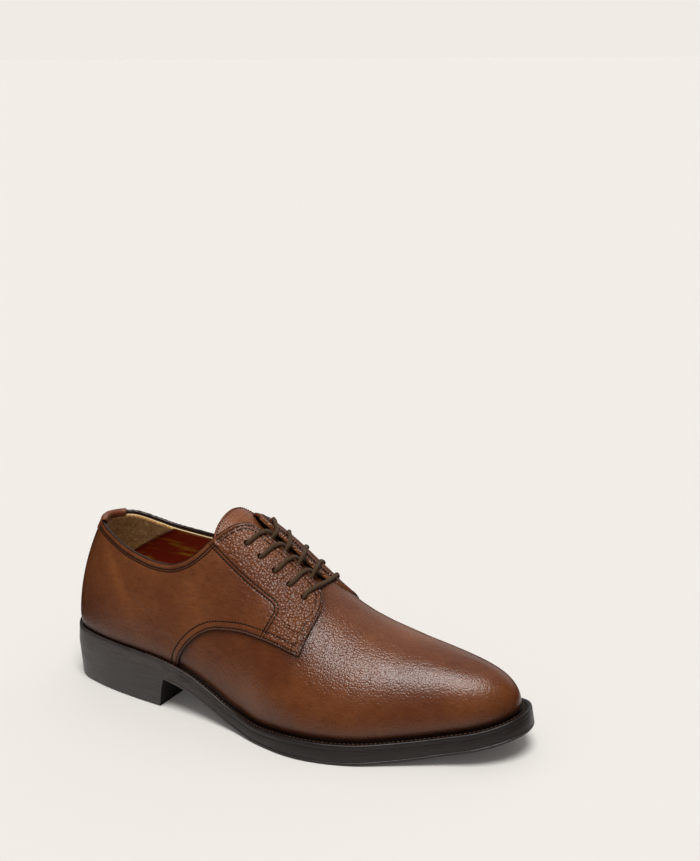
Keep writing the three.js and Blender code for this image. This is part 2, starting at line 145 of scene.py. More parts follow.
# Edge of a quarter as cut: along the collar, down the facing, and back along the arc over the vamp.
# girth is 0 at the sole and 0.5 on the top line. The inner quarter has its own two columns.
# The rows are where the two lines of stitches run, in millimetres from the edge
QUARTER_EDGE = table(
    ["at", "girth", "inner_at", "inner_girth", "row_1", "row_2"],
    [
        [0, 0.272, 0, 0.272, 3.4, 4.8],
        [0.03, 0.266, 0.03, 0.271, 3.4, 4.8],
        [0.06, 0.255, 0.06, 0.262, 3.4, 4.8],
        [0.1, 0.238, 0.1, 0.245, 3.4, 4.8],
        [0.14, 0.222, 0.14, 0.229, 3.4, 4.8],
        [0.18, 0.208, 0.18, 0.215, 3.4, 4.8],
        [0.22, 0.198, 0.22, 0.205, 3.4, 4.8],
        [0.25, 0.198, 0.255, 0.204, 3.4, 4.8],
        [0.275, 0.206, 0.284, 0.21, 3.4, 4.8],
        [0.295, 0.222, 0.306, 0.223, 3.4, 4.8],
        [0.31, 0.242, 0.322, 0.242, 3.4, 4.8],
        [0.323, 0.27, 0.336, 0.27, 3.3, 4.8],
        [0.334, 0.308, 0.348, 0.308, 3.1, 4.7],
        [0.346, 0.352, 0.36, 0.352, 2.8, 4.6],
        [0.357, 0.395, 0.37, 0.395, 2.5, 4.5],
        [0.37, 0.434, 0.38, 0.434, 2.4, 4.4],
        [0.388, 0.456, 0.393, 0.456, 2.0, 4.2],
        [0.42, 0.463, 0.42, 0.463, 1.8, 4.2],
        [0.48, 0.466, 0.48, 0.466, 1.8, 4.2],
        [0.53, 0.464, 0.53, 0.464, 1.8, 4.2],
        [0.56, 0.458, 0.56, 0.458, 1.8, 4.4],
        [0.582, 0.444, 0.582, 0.444, 1.8, 4.6],
        [0.596, 0.424, 0.596, 0.424, 1.8, 4.6],
        [0.603, 0.395, 0.603, 0.395, 1.8, 4.6],
        [0.605, 0.36, 0.605, 0.36, 1.8, 4.6],
        [0.602, 0.305, 0.602, 0.305, 1.8, 4.6],
        [0.599, 0.262, 0.599, 0.262, 1.8, 4.6],
        [0.597, 0.228, 0.597, 0.228, 1.7, 4.7],
        [0.59, 0.2215, 0.59, 0.2215, 1.6, 4.8],
        [0.55, 0.214, 0.55, 0.214, 1.5, 5.0],
        [0.51, 0.203, 0.51, 0.203, 1.5, 5.0],
        [0.48, 0.19, 0.48, 0.19, 1.5, 5.0],
        [0.45, 0.173, 0.45, 0.173, 1.5, 5.0],
        [0.42, 0.151, 0.42, 0.151, 1.5, 5.0],
        [0.394, 0.13, 0.394, 0.13, 1.5, 5.0],
        [0.374, 0.108, 0.374, 0.108, 1.5, 5.0],
        [0.354, 0.08, 0.354, 0.08, 1.5, 5.0],
        [0.336, 0.05, 0.336, 0.05, 1.5, 5.0],
        [0.324, 0.024, 0.324, 0.024, 1.5, 5.0],
        [0.317, 0, 0.317, 0, 1.5, 5.0],
    ],
)
SLOT_ROW = 15.5  # the edge turns from the collar into the slot here
FRONT_ROW = 23.5  # and here it turns down to lie on the vamp
ARC_FOOT = 0.317  # the arc over the vamp meets the sole here, as a share of LENGTH
THROAT_END = 0.578
EYELET_FIRST = 0.403
EYELET_LAST = 0.558
EYELETS = 5
EYELET_GIRTH = 0.378
EYELET_HOLE = 3.6

# Seam of the facing, sewn down through the quarter
FACING_SEAM = table(
    ["at", "girth"],
    [
        [0.341, 0.3],
        [0.37, 0.297],
        [0.41, 0.295],
        [0.45, 0.297],
        [0.482, 0.301],
        [0.503, 0.304],
        [0.514, 0.3],
        [0.519, 0.287],
        [0.517, 0.266],
        [0.513, 0.24],
        [0.509, 0.219],
        [0.507, 0.206],
    ],
)

TONGUE = table(["at", "half"], [[0.28, 0.175], [0.42, 0.165], [0.5, 0.15], [0.62, 0.12]])
TONGUE_GAP = 0.9
TONGUE_THICKNESS = 2.2
TONGUE_TOP = 0.29
TONGUE_LEAN = 0.03
TONGUE_FREE = 0.47
TONGUE_END = (110.5, 118.6, 44.0)  # the free end: its place along, its height and how it arches, mm
TONGUE_ROW = 2.4  # its stitches from its edge, mm
TONGUE_FRONT = 0.62
TAB_SHARE = 0.0208  # how far the tab reaches round each side, as a share of LENGTH
SEAM_APART = 0.95  # each row of the facing's seam from its middle, mm


# The last and the sole as functions


def smooth_line(x, y, at):
    """A smooth line through points, at one place or many."""
    t = np.clip(at, x[0], x[-1])
    step = np.diff(x)
    slope = np.diff(y) / step
    tangent = np.empty_like(y)
    tangent[0], tangent[-1] = slope[0], slope[-1]
    tangent[1:-1] = (slope[1:] * step[1:] + slope[:-1] * step[:-1]) / (step[:-1] + step[1:])
    k = np.clip(np.searchsorted(x, t, side="right") - 1, 0, len(x) - 2)
    w = (t - x[k]) / step[k]
    w2, w3 = w * w, w * w * w
    return (
        (2 * w3 - 3 * w2 + 1) * y[k]
        + (w3 - 2 * w2 + w) * step[k] * tangent[k]
        + (3 * w2 - 2 * w3) * y[k + 1]
        + (w3 - w2) * step[k] * tangent[k + 1]
    )


def smooth(columns, name, at):
    """The smooth line through a column of a table."""
    return smooth_line(columns["at"], columns[name], at)


def share_of(u):
    return (1 - np.cos(np.pi * np.asarray(u, float))) / 2


def station_of(share):
    return np.arccos(np.clip(1 - 2 * np.asarray(share, float), -1, 1)) / np.pi


OUTLINE_STATIONS = station_of(OUTLINE["at"])


def underside_at(x):
    heel = np.maximum(0, smooth(SOLE_LINE, "heel", x / LENGTH))
    spring = np.maximum(0, smooth(SOLE_LINE, "spring", x / LENGTH))
    return HEEL_HEIGHT * heel + TOE_SPRING * spring


def welt_top_at(x):
    return underside_at(x) + SOLE_THICKNESS * smooth(SOLE_LINE, "thickness", x / LENGTH)


def edge_point(side, u, inset):
    """x and y of the sole's edge, moved inwards. side is -1 outer, +1 inner, and may be an array."""
    u = np.asarray(u, float)

    def at(v):
        outer = smooth_line(OUTLINE_STATIONS, OUTLINE["lateral"], v)
        inner = smooth_line(OUTLINE_STATIONS, OUTLINE["medial"], v)
        return share_of(v) * LENGTH, np.where(side < 0, outer, inner) * BALL_WIDTH

    x, y = at(u)
    xa, ya = at(np.maximum(u - 1e-4, 0))
    xb, yb = at(np.minimum(u + 1e-4, 1))
    length = np.hypot(xb - xa, yb - ya)
    return x + (yb - ya) / length * side * inset, y - (xb - xa) / length * side * inset


def ledge_at(u):
    return WELT_LEDGE * smooth(LEDGE, "share", share_of(u))


def flare_at(u):
    return EDGE_FLARE * ledge_at(u) / WELT_LEDGE


def top_line(u):
    share = share_of(u)
    x = CONE_SETBACK + (LENGTH - TOE_SETBACK - CONE_SETBACK) * share
    across = smooth(TOP_LINE, "across", share) * BALL_WIDTH
    return np.stack([x, across, smooth(TOP_LINE, "height", share) * INSTEP_HEIGHT], -1)


def last_point(u, girth):
    """The last: u from the heel to the toe, girth from 0 outer edge over 0.5 on top to 1 inner edge."""
    u, girth = np.broadcast_arrays(np.asarray(u, float), np.asarray(girth, float))
    share = share_of(u)
    outer = girth <= 0.5
    t = np.where(outer, girth, 1 - girth)[..., None] * 2
    fx, fy = edge_point(np.where(outer, -1, 1), u, ledge_at(u) + WALL)
    fz = welt_top_at(fx) + GAP
    top = top_line(u)
    before, after = top_line(np.maximum(u - 1e-3, 0)), top_line(np.minimum(u + 1e-3, 1))
    rise = (after[..., 2] - before[..., 2]) / (after[..., 0] - before[..., 0])
    reach = np.hypot(fx - top[..., 0], fy - top[..., 1])
    dx, dy = (fx - top[..., 0]) / reach, (fy - top[..., 1]) / reach

    def half(name):
        on_outer, on_inner = (smooth(TOP_LINE, side + name, share) for side in ("outer_", "inner_"))
        return np.where(outer, on_outer, on_inner)

    bulge, level = half("bulge") * BALL_WIDTH, half("top") * reach
    foot = np.stack([fx, fy, fz], -1)
    up = smooth(TOP_LINE, "side_pull", share) * (top[..., 2] - fz)
    low = np.stack([fx + dx * bulge, fy + dy * bulge, fz + up], -1)
    high = top + np.stack([dx * level, dy * level, rise * dx * level], -1)
    return (1 - t) ** 3 * foot + 3 * (1 - t) ** 2 * t * low + 3 * (1 - t) * t * t * high + t**3 * top


def unit(v):
    return v / (np.linalg.norm(v, axis=-1, keepdims=True) + 1e-12)


def last_normal(u, girth):
    """Outward normal of the last, level at the sole's edge and shared by both sides at heel and toe."""
    u, girth = np.broadcast_arrays(np.asarray(u, float), np.asarray(girth, float))
    step = 2e-3
    inner = np.clip(u, step, 1 - step)

    def one(g):
        du = last_point(inner + step / 2, g) - last_point(inner - step / 2, g)
        dg = last_point(inner, np.minimum(g + step, 1)) - last_point(inner, np.maximum(g - step, 0))
        return unit(np.cross(du, dg))

    normal = one(girth)
    at_end = ((u <= 0) | (u >= 1))[..., None]
    normal = np.where(at_end, unit(normal + one(1 - girth)), normal)
    normal[..., 2] *= np.minimum(1, np.minimum(girth, 1 - girth) / 0.05)
    return unit(normal)


def off_last(u, girth, offset):
    return last_point(u, girth) + last_normal(u, girth) * np.asarray(offset, float)[..., None]


def side_girth(side, girth):
    return girth if side < 0 else 1 - girth


def moved_on_last(u, girth, distance, turn):
    """Places on the last at a distance to one side of a line of places. turn is +1 or -1."""
    here = last_point(u, girth)
    along = unit(np.gradient(here, axis=0))
    target = here + np.cross(last_normal(u, girth), along) * turn * np.asarray(distance, float)[..., None]
    u, girth = u.copy(), girth.copy()
    step = 1e-3
    for _ in range(4):
        point = last_point(u, girth)
        pu = (last_point(u + step, girth) - last_point(u - step, girth)) / (2 * step)
        pg = (last_point(u, girth + step) - last_point(u, girth - step)) / (2 * step)
        miss = target - point
        a, b, c = (pu * pu).sum(-1), (pu * pg).sum(-1), (pg * pg).sum(-1)
        e, f = (miss * pu).sum(-1), (miss * pg).sum(-1)
        det = a * c - b * b + 1e-9
        u = np.clip(u + (c * e - b * f) / det, 0, 1)
        girth = girth + (a * f - b * e) / det
    return u, girth


def bell(distance, width):
    """A soft hump: 1 in its middle, and nearly gone at twice its width."""
    return np.exp(-((distance / width) ** 2))


def fade(distance, start, end):
    """1 up to a start and 0 from an end."""
    return 1 - np.clip((distance - start) / (end - start), 0, 1)


def run_along(points):
    """Length of a line up to each of its points."""
    return np.concatenate([[0], np.cumsum(np.linalg.norm(np.diff(points, axis=0), axis=1))])


def distance_to(points, line, batch=4000):
    """Distance from each point to the nearest of a line's points, and that point's number."""
    flat = points.reshape(-1, 3)
    least = np.empty(len(flat))
    nearest = np.empty(len(flat), int)
    for start in range(0, len(flat), batch):
        part = slice(start, start + batch)
        d = ((flat[part][:, None, :] - line[None]) ** 2).sum(-1)
        nearest[part] = d.argmin(1)
        least[part] = np.sqrt(d.min(1))
    return least.reshape(points.shape[:-1]), nearest.reshape(points.shape[:-1])


def resampled(points, spacing):
    """A line's points at an even spacing."""
    run = run_along(points)
    count = max(2, int(round(run[-1] / spacing)) + 1)
    at = np.linspace(0, run[-1], count)
    return np.stack([np.interp(at, run, points[:, k]) for k in range(points.shape[1])], -1)


# Meshes


def to_frame(points):
    return (np.asarray(points, float).reshape(-1, 3) - [HEEL_REST, 0, 0]) * MM


def placed(name, data):
    """A new object in the scene."""
    thing = bpy.data.objects.new(name, data)
    bpy.context.scene.collection.objects.link(thing)
    return thing


def make_mesh(name, points, faces, material, attributes=None, uv=None, sharp=50):
    mesh = bpy.data.meshes.new(name)
    mesh.from_pydata([tuple(p) for p in to_frame(points)], [], faces)
    for key, values in (attributes or {}).items():
        layer = mesh.attributes.new(key, "FLOAT", "POINT")
        layer.data.foreach_set("value", np.asarray(values, np.float32).ravel())
    if uv is not None:
        layer = mesh.uv_layers.new(name="along")
        layer.data.foreach_set("uv", np.asarray(uv, np.float32).ravel())
    work = bmesh.new()
    work.from_mesh(mesh)
    bmesh.ops.remove_doubles(work, verts=work.verts, dist=2e-6)
    bmesh.ops.dissolve_degenerate(work, edges=work.edges, dist=1e-6)
    # The slits that are left where two sides meet
    loose = {v for edge in work.edges if edge.is_boundary for v in edge.verts}
    bmesh.ops.remove_doubles(work, verts=list(loose), dist=2e-4)
    bmesh.ops.recalc_face_normals(work, faces=work.faces)
    work.to_mesh(mesh)
    work.free()
    mesh.shade_smooth()
    mesh.set_sharp_from_angle(angle=np.radians(sharp))
    mesh.materials.append(material)
    return placed(name, mesh)


def closed_sheet(name, high, low, material, keep=None, welded_ends=(False, False), attributes=None):
    """A closed solid between two grids of points. keep marks the cells that are filled.
    An attribute is one grid for both faces, or a pair of grids."""
    columns, rows = high.shape[0] - 1, high.shape[1] - 1
    keep = np.ones((columns, rows), bool) if keep is None else keep
    count = (columns + 1) * (rows + 1)
    corner = np.arange(count).reshape(columns + 1, rows + 1)
    filled = np.zeros((columns + 2, rows + 2), bool)
    filled[1:-1, 1:-1] = keep
    for end, welded in zip((0, -1), welded_ends):
        if welded:
            filled[end, 1:-1] = keep[end]
    faces = []
    for i, j in zip(*np.nonzero(keep)):
        ring = [int(v) for v in (corner[i, j], corner[i + 1, j], corner[i + 1, j + 1], corner[i, j + 1])]
        faces.append(tuple(ring))
        faces.append(tuple(v + count for v in reversed(ring)))
        beside = [filled[i + 1, j], filled[i + 2, j + 1], filled[i + 1, j + 2], filled[i, j + 1]]
        for a, b, covered in zip(ring, ring[1:] + ring[:1], beside):
            if not covered:
                faces.append((a + count, b + count, b, a))
    doubled = {}
    for key, value in (attributes or {}).items():
        above, below = value if isinstance(value, tuple) else (value, value)
        doubled[key] = np.concatenate([np.ravel(above), np.ravel(below)])
    points = np.concatenate([high.reshape(-1, 3), low.reshape(-1, 3)])
    return make_mesh(name, points, faces, material, doubled)


def lofted(name, sections, material, around=False, caps=False, sharp=50, attributes=None):
    """A skin over sections that are closed rings. around joins the last section to the first."""
    count, ring = sections.shape[:2]
    faces = []
    for i in range(count if around else count - 1):
        for j in range(ring):
            a, b = i * ring + j, i * ring + (j + 1) % ring
            c, d = ((i + 1) % count) * ring + (j + 1) % ring, ((i + 1) % count) * ring + j
            faces.append((a, d, c, b))
    if caps:
        faces.append(tuple((count - 1) * ring + j for j in range(ring)))
    return make_mesh(name, sections.reshape(-1, 3), faces, material, attributes, sharp=sharp)


def cord_mesh(name, paths, radius, material, sides=14):
    """Round cords along paths, with their length in the UV map, in millimetres."""
    points, faces, uvs = [], [], []
    for path in paths:
        path = resampled(np.asarray(path, float), 0.7)
        tangent = unit(np.gradient(path, axis=0))
        side = unit(np.cross(tangent[0], [0.31, 0.2, 0.93]))
        run = run_along(path)
        angles = np.linspace(0, 2 * np.pi, sides, endpoint=False)
        base = len(points)
        for k, centre in enumerate(path):
            side = unit(side - tangent[k] * (side @ tangent[k]))
            other = np.cross(tangent[k], side)
            points.extend(centre + radius * (np.cos(a) * side + np.sin(a) * other) for a in angles)
        for k in range(len(path) - 1):
            for j in range(sides):
                a, b = base + k * sides + j, base + k * sides + (j + 1) % sides
                faces.append((a, b, b + sides, a + sides))
                left, right = j / sides, (j + 1) / sides
                uvs += [(left, run[k]), (right, run[k]), (right, run[k + 1]), (left, run[k + 1])]
        last = base + (len(path) - 1) * sides
        faces.append(tuple(base + j for j in reversed(range(sides))))
        faces.append(tuple(last + j for j in range(sides)))
        uvs += [(0, run[0])] * sides + [(0, run[-1])] * sides
    return make_mesh(name, points, faces, material, uv=uvs)


# Materials


def colour(hex_code):
    """An sRGB hex value as linear light."""
    parts = [int(hex_code[k : k + 2], 16) / 255 for k in (1, 3, 5)]
    return tuple(c / 12.92 if c <= 0.04045 else ((c + 0.055) / 1.055) ** 2.4 for c in parts) + (1.0,)


class Shader:
    """A node tree that is being filled in."""

    def __init__(self, name):
        self.material = bpy.data.materials.new(name)
        self.material.use_nodes = True
        self.tree = self.material.node_tree
        self.surface = self.tree.nodes["Principled BSDF"]

    def feed(self, socket, value):
        """Sets a socket's own value, or links an output to it."""
        if isinstance(value, (int, float, tuple)):
            socket.default_value = value
        else:
            self.tree.links.new(value, socket)

    def add(self, kind, inputs=None, **settings):
        """Adds a node with its settings and what its inputs are fed with."""
        node = self.tree.nodes.new(kind)
        for key, value in settings.items():
            setattr(node, key, value)
        for key, value in (inputs or {}).items():
            self.feed(node.inputs[key], value)
        return node

    def place(self):
        return self.add("ShaderNodeTexCoord").outputs["Object"]

    def attribute(self, name):
        return self.add("ShaderNodeAttribute", attribute_name=name).outputs["Fac"]

    def stretched(self, vector, scale):
        return self.add("ShaderNodeMapping", {"Vector": vector, "Scale": scale}).outputs[0]

    def math(self, operation, a, b=0.0, clamp=False):
        return self.add("ShaderNodeMath", {0: a, 1: b}, operation=operation, use_clamp=clamp).outputs[0]

    def total(self, *parts):
        """Sum of values, each with its weight."""
        result = 0.0
        for value, weight in parts:
            result = self.math("ADD", self.math("MULTIPLY", value, weight), result)
        return result

    def ramp(self, value, low, high, to_low=0.0, to_high=1.0):
        inputs = {"Value": value, "From Min": low, "From Max": high, "To Min": to_low, "To Max": to_high}
        return self.add("ShaderNodeMapRange", inputs, interpolation_type="SMOOTHSTEP").outputs["Result"]

    def mix(self, amount, a, b):
        return self.add("ShaderNodeMix", {0: amount, 6: a, 7: b}, data_type="RGBA").outputs[2]

    def noise(self, vector, size_mm, detail=2.0, roughness=0.5, output="Fac"):
        inputs = {"Vector": vector, "Scale": 1 / (size_mm * MM), "Detail": detail, "Roughness": roughness}
        return self.add("ShaderNodeTexNoise", inputs).outputs[output]

    def cells(self, vector, size_mm, randomness, feature="F1"):
        inputs = {"Vector": vector, "Scale": 1 / (size_mm * MM), "Randomness": randomness}
        return self.add("ShaderNodeTexVoronoi", inputs, feature=feature).outputs["Distance"]

    def bump(self, height, distance_mm):
        inputs = {"Height": height, "Distance": distance_mm * MM, "Strength": 1.0}
        return self.add("ShaderNodeBump", inputs).outputs["Normal"]

    def finish(self, base, roughness, normal=None, **constants):
        """Feeds the surface, and sets its constants by the names of its sockets, with _ for a space."""
        inputs = {"Base Color": base, "Roughness": roughness}
        if normal is not None:
            inputs.update({"Normal": normal, "Coat Normal": normal})
        inputs.update({key.replace("_", " "): value for key, value in constants.items()})
        for key, value in inputs.items():
            self.feed(self.surface.inputs[key], value)
        return self.material


def pebbled_leather(name, tones, grain_mm, grain_depth_mm, wrinkled, roughness, coat):
    """Full-grain calf, milled so that it wrinkles into pebbles, dyed and burnished, then waxed to a soft gloss.
    The pebbles are rounded islands between fine creases, flatter where the leather is pulled over the last."""
    s = Shader(name)
    light, mid, dark, painted = (colour(tone) for tone in tones)
    place = s.place()
    cloud = s.noise(place, 8, 4, 0.62)
    uneven = s.total((s.noise(place, 38, 3, 0.55), 0.8), (cloud, 0.2))
    tone = s.mix(s.ramp(uneven, 0.24, 0.84), mid, light)
    # Lighter where the dye is worn, and a painted highlight on the slot's rolled edge
    tone = s.mix(s.attribute("lightened"), tone, light)
    # Darker where burnished at the heel and toe, with painted shade low on the sides, along the quarter's edge
    # on the vamp and where the tongue lies in the slot
    tone = s.mix(s.math("MULTIPLY", s.attribute("burnish_and_shade"), 0.95, clamp=True), tone, dark)
    # Pebbles, shaken out of line so that no cell is regular
    shake = s.noise(place, 2.6, 1.0, output="Color")
    shake = s.add("ShaderNodeVectorMath", {0: shake, 1: (1.6 * MM,) * 3}, operation="MULTIPLY").outputs[0]
    shaken = s.add("ShaderNodeVectorMath", {0: place, 1: shake}, operation="ADD").outputs[0]
    middle = s.cells(shaken, grain_mm, 0.72)
    border = s.cells(shaken, grain_mm, 0.72, "DISTANCE_TO_EDGE")
    pebble = s.math("SUBTRACT", 1.0, s.math("MULTIPLY", s.math("MULTIPLY", middle, middle), 2.4))
    grain = s.attribute("grain")
    crease = s.ramp(border, 0.0, 0.16, 1.0, 0.0)
    tone = s.mix(s.math("MULTIPLY", s.math("MULTIPLY", crease, grain), 0.6, clamp=True), tone, dark)
    # Fine wrinkles that run along the shoe
    wrinkle = s.noise(s.stretched(place, (0.45, 1.0, 1.5)), 2.2, 3, 0.6)
    tone = s.mix(s.math("MULTIPLY", s.ramp(wrinkle, 0.55, 0.3), wrinkled), tone, dark)
    # Painted edges, painted shadow at the upper's foot, the hidden inner face of the rim, the stitch rows and
    # the two rows of the facing's seam
    seam = s.math("ABSOLUTE", s.math("SUBTRACT", s.math("ABSOLUTE", s.attribute("seam")), SEAM_APART))
    rows = [s.ramp(distance, 0.2, 0.7, 0.75, 0.0) for distance in (seam, s.attribute("row"))]
    covered = s.math("MAXIMUM", s.attribute("paint_and_shadow"), s.attribute("inside"))
    tone = s.mix(s.math("MAXIMUM", covered, s.math("MAXIMUM", *rows), clamp=True), tone, painted)
    fine = s.noise(place, 0.5, 2, 0.6)
    height = s.total((s.math("MULTIPLY", pebble, grain), 0.9), (wrinkle, 0.4), (fine, 0.08))
    gloss = s.ramp(s.total((cloud, 1.0), (crease, 0.3)), 0.3, 1.0, roughness - 0.04, roughness + 0.1)
    normal = s.bump(height, grain_depth_mm)
    return s.finish(tone, gloss, normal, Coat_Weight=coat, Coat_Roughness=0.17, Specular_IOR_Level=0.32)


def lining_leather():
    """Vegetable-tanned lining, thin and smooth, red-brown with yellow handling streaks, its cut edge pale."""
    s = Shader("lining leather")
    place = s.place()
    streak = s.ramp(s.noise(s.stretched(place, (0.5, 1.0, 3.0)), 11, 3, 0.55), 0.5, 0.74)
    tone = s.mix(streak, colour("#821f04"), colour("#a56f1c"))
    # Painted shade: the lining goes near black in the throat, under the facings
    tone = s.mix(s.attribute("shade"), tone, colour("#2a120a"))
    edge = s.ramp(s.attribute("edge"), 0.25, 0.75, 1.0, 0.0)
    tone = s.mix(edge, tone, colour("#d2b78f"))
    normal = s.bump(s.noise(place, 0.8, 3, 0.6), 0.08)
    return s.finish(tone, 0.5, normal, Specular_IOR_Level=0.35)


def suede_lining():
    """Split leather in the heel, nap outwards: matt, olive, brushed into lighter and darker patches."""
    s = Shader("heel suede")
    place = s.place()
    tone = s.mix(s.ramp(s.noise(place, 5.5, 4, 0.7), 0.35, 0.66), colour("#c8924c"), colour("#f2c27e"))
    nap = s.noise(place, 0.6, 3, 0.8)
    tone = s.mix(s.ramp(nap, 0.4, 0.62), colour("#7c4e20"), tone)
    normal = s.bump(nap, 0.35)
    return s.finish(tone, 0.95, normal, Sheen_Weight=0.35, Sheen_Roughness=0.5, Specular_IOR_Level=0.25)


def sole_edge(name, base, lightened, roughness=0.42, fore=None):
    """Sole leather cut, sanded, inked dark and waxed, with faint lines along it from the trimming wheel.
    The welt's channel and the heel's breast are painted near black as painted shade, and the edge is darker
    along the forefoot."""
    s = Shader(name)
    place = s.place()
    lines = s.noise(s.stretched(place, (1.0, 1.0, 14.0)), 14, 3, 0.6)
    patch = s.noise(place, 12, 4, 0.6)
    tone = s.mix(s.ramp(s.total((lines, 0.6), (patch, 0.5)), 0.4, 0.75), colour(base), colour(lightened))
    if fore is not None:
        along = s.add("ShaderNodeSeparateXYZ", {0: place}).outputs[0]
        tone = s.mix(s.ramp(along, 0.05, 0.12), tone, colour(fore))
    # Painted shade: near black where the shade attribute is set, in the welt's channel and on the heel's breast
    tone = s.mix(s.attribute("shade"), tone, colour("#0b0706"))
    normal = s.bump(s.total((lines, 1.0), (s.noise(place, 0.9, 3, 0.7), 0.35)), 0.12)
    gloss = s.ramp(patch, 0.3, 0.7, roughness - 0.06, roughness + 0.08)
    return s.finish(tone, gloss, normal, Specular_IOR_Level=0.45)


def waxed_braid(strands=5, turn_mm=1.5):
    """Round cotton lace, braided and waxed: the strands cross in a fine diamond pattern."""
    s = Shader("waxed braid")
    uv = s.add("ShaderNodeUVMap", uv_map="along").outputs[0]
    parts = s.add("ShaderNodeSeparateXYZ", {0: uv})
    around = s.math("MULTIPLY", parts.outputs[0], 2 * np.pi * strands)
    along = s.math("MULTIPLY", parts.outputs[1], 2 * np.pi / turn_mm)
    one, two = (s.math("SINE", s.math(way, around, along)) for way in ("ADD", "SUBTRACT"))
    braid = s.ramp(s.math("MULTIPLY", one, two), -0.8, 0.8)
    fuzz = s.noise(s.place(), 0.6, 3, 0.7)
    tone = s.mix(braid, colour("#291c11"), colour("#5f452b"))
    tone = s.mix(s.math("MULTIPLY", fuzz, 0.4), tone, colour("#3d2b1b"))
    normal = s.bump(s.total((braid, 1.0), (fuzz, 0.4)), 0.22)
    return s.finish(tone, 0.75, normal, Sheen_Weight=0.06, Specular_IOR_Level=0.2)


def thread(name, base, light):
    """Waxed linen thread, twisted and pulled tight."""
    s = Shader(name)
    tone = s.mix(s.ramp(s.noise(s.place(), 0.7, 2, 0.6), 0.35, 0.7), colour(base), colour(light))
    return s.finish(tone, 0.8, Specular_IOR_Level=0.15)


# Light, middle and burnished tone, the burnished one also for painted shade, and the paint on the edges, also
# for painted shadow at the upper's foot
CALF = ("#7b4620", "#5a2d16", "#2e1309", "#24120b")
TONGUE_CALF = ("#8b5330", "#733f21", "#40200f", "#2a150c")
TAB_CALF = ("#84492a", "#6e3a20", "#3a1a0e", "#1d110c")
LEATHER = pebbled_leather("pebbled calf", CALF, 1.75, 0.3, 0.26, 0.38, 0.1)
VAMP_LEATHER = pebbled_leather("vamp calf", CALF, 1.25, 0.24, 0.2, 0.31, 0.14)
TONGUE_LEATHER = pebbled_leather("tongue calf", TONGUE_CALF, 1.3, 0.22, 0.25, 0.38, 0.06)
TAB_LEATHER = pebbled_leather("tab calf", TAB_CALF, 1.2, 0.1, 0.2, 0.45, 0.3)
LINING = lining_leather()
SUEDE = suede_lining()
OUTSOLE_EDGE = sole_edge("inked sole leather", "#2e2826", "#423a37", fore="#1d1614")
WELT_EDGE = sole_edge("inked welt leather", "#292321", "#3b3431", fore="#1d1614")
HEEL_EDGE = sole_edge("inked heel", "#24201f", "#35302e")
# The heel's breast is near black: painted shadow under the waist
BREAST_SHADOW = sole_edge("breast painted shadow", "#0d0a09", "#171211", 0.95)
SOCK = sole_edge("sock leather", "#6f5735", "#8f744a", 0.7)
BRAID = waxed_braid()
SEAM_THREAD = thread("dark seam thread", "#170d09", "#2b1a11")
WELT_THREAD = thread("welt thread", "#2c1b11", "#543a27")


# Stitches


STITCH_SIZES = ("Pitch", "Length", "Thickness")


def stitch_tree():
    """Geometry Nodes: one small rounded stitch at each step along a line."""
    tree = bpy.data.node_groups.new("stitch rows", "GeometryNodeTree")
    tree.interface.new_socket("Geometry", in_out="INPUT", socket_type="NodeSocketGeometry")
    for name in STITCH_SIZES:
        tree.interface.new_socket(name, in_out="INPUT", socket_type="NodeSocketFloat")
    tree.interface.new_socket("Thread", in_out="INPUT", socket_type="NodeSocketMaterial")
    tree.interface.new_socket("Geometry", in_out="OUTPUT", socket_type="NodeSocketGeometry")

    def add(kind, mode=None, **links):
        node = tree.nodes.new(kind)
        if mode is not None:
            node.mode = mode
        for key, source in links.items():
            tree.links.new(source, node.inputs[key])
        return node

    inlet = tree.nodes.new("NodeGroupInput")
    curve = add("GeometryNodeMeshToCurve", Mesh=inlet.outputs["Geometry"])
    spaced = add("GeometryNodeResampleCurve", "LENGTH", Curve=curve.outputs[0], Length=inlet.outputs["Pitch"])
    points = add("GeometryNodeCurveToPoints", "EVALUATED", Curve=spaced.outputs[0])
    turn = tree.nodes.new("FunctionNodeAlignRotationToVector")
    turn.axis = "X"
    tree.links.new(points.outputs["Tangent"], turn.inputs["Vector"])
    ball = tree.nodes.new("GeometryNodeMeshUVSphere")
    ball.inputs["Segments"].default_value = 7
    ball.inputs["Rings"].default_value = 5
    ball.inputs["Radius"].default_value = 0.5
    long, thick = inlet.outputs["Length"], inlet.outputs["Thickness"]
    size = add("ShaderNodeCombineXYZ", X=long, Y=thick, Z=thick)
    copies = add(
        "GeometryNodeInstanceOnPoints",
        Points=points.outputs[0],
        Instance=ball.outputs["Mesh"],
        Rotation=turn.outputs[0],
        Scale=size.outputs[0],
    )
    real = add("GeometryNodeRealizeInstances", Geometry=copies.outputs[0])
    rounded = add("GeometryNodeSetShadeSmooth", Geometry=real.outputs[0])
    waxed = add("GeometryNodeSetMaterial", Geometry=rounded.outputs[0], Material=inlet.outputs["Thread"])
    outlet = tree.nodes.new("NodeGroupOutput")
    tree.links.new(waxed.outputs[0], outlet.inputs[0])
    return tree


STITCHES = stitch_tree()


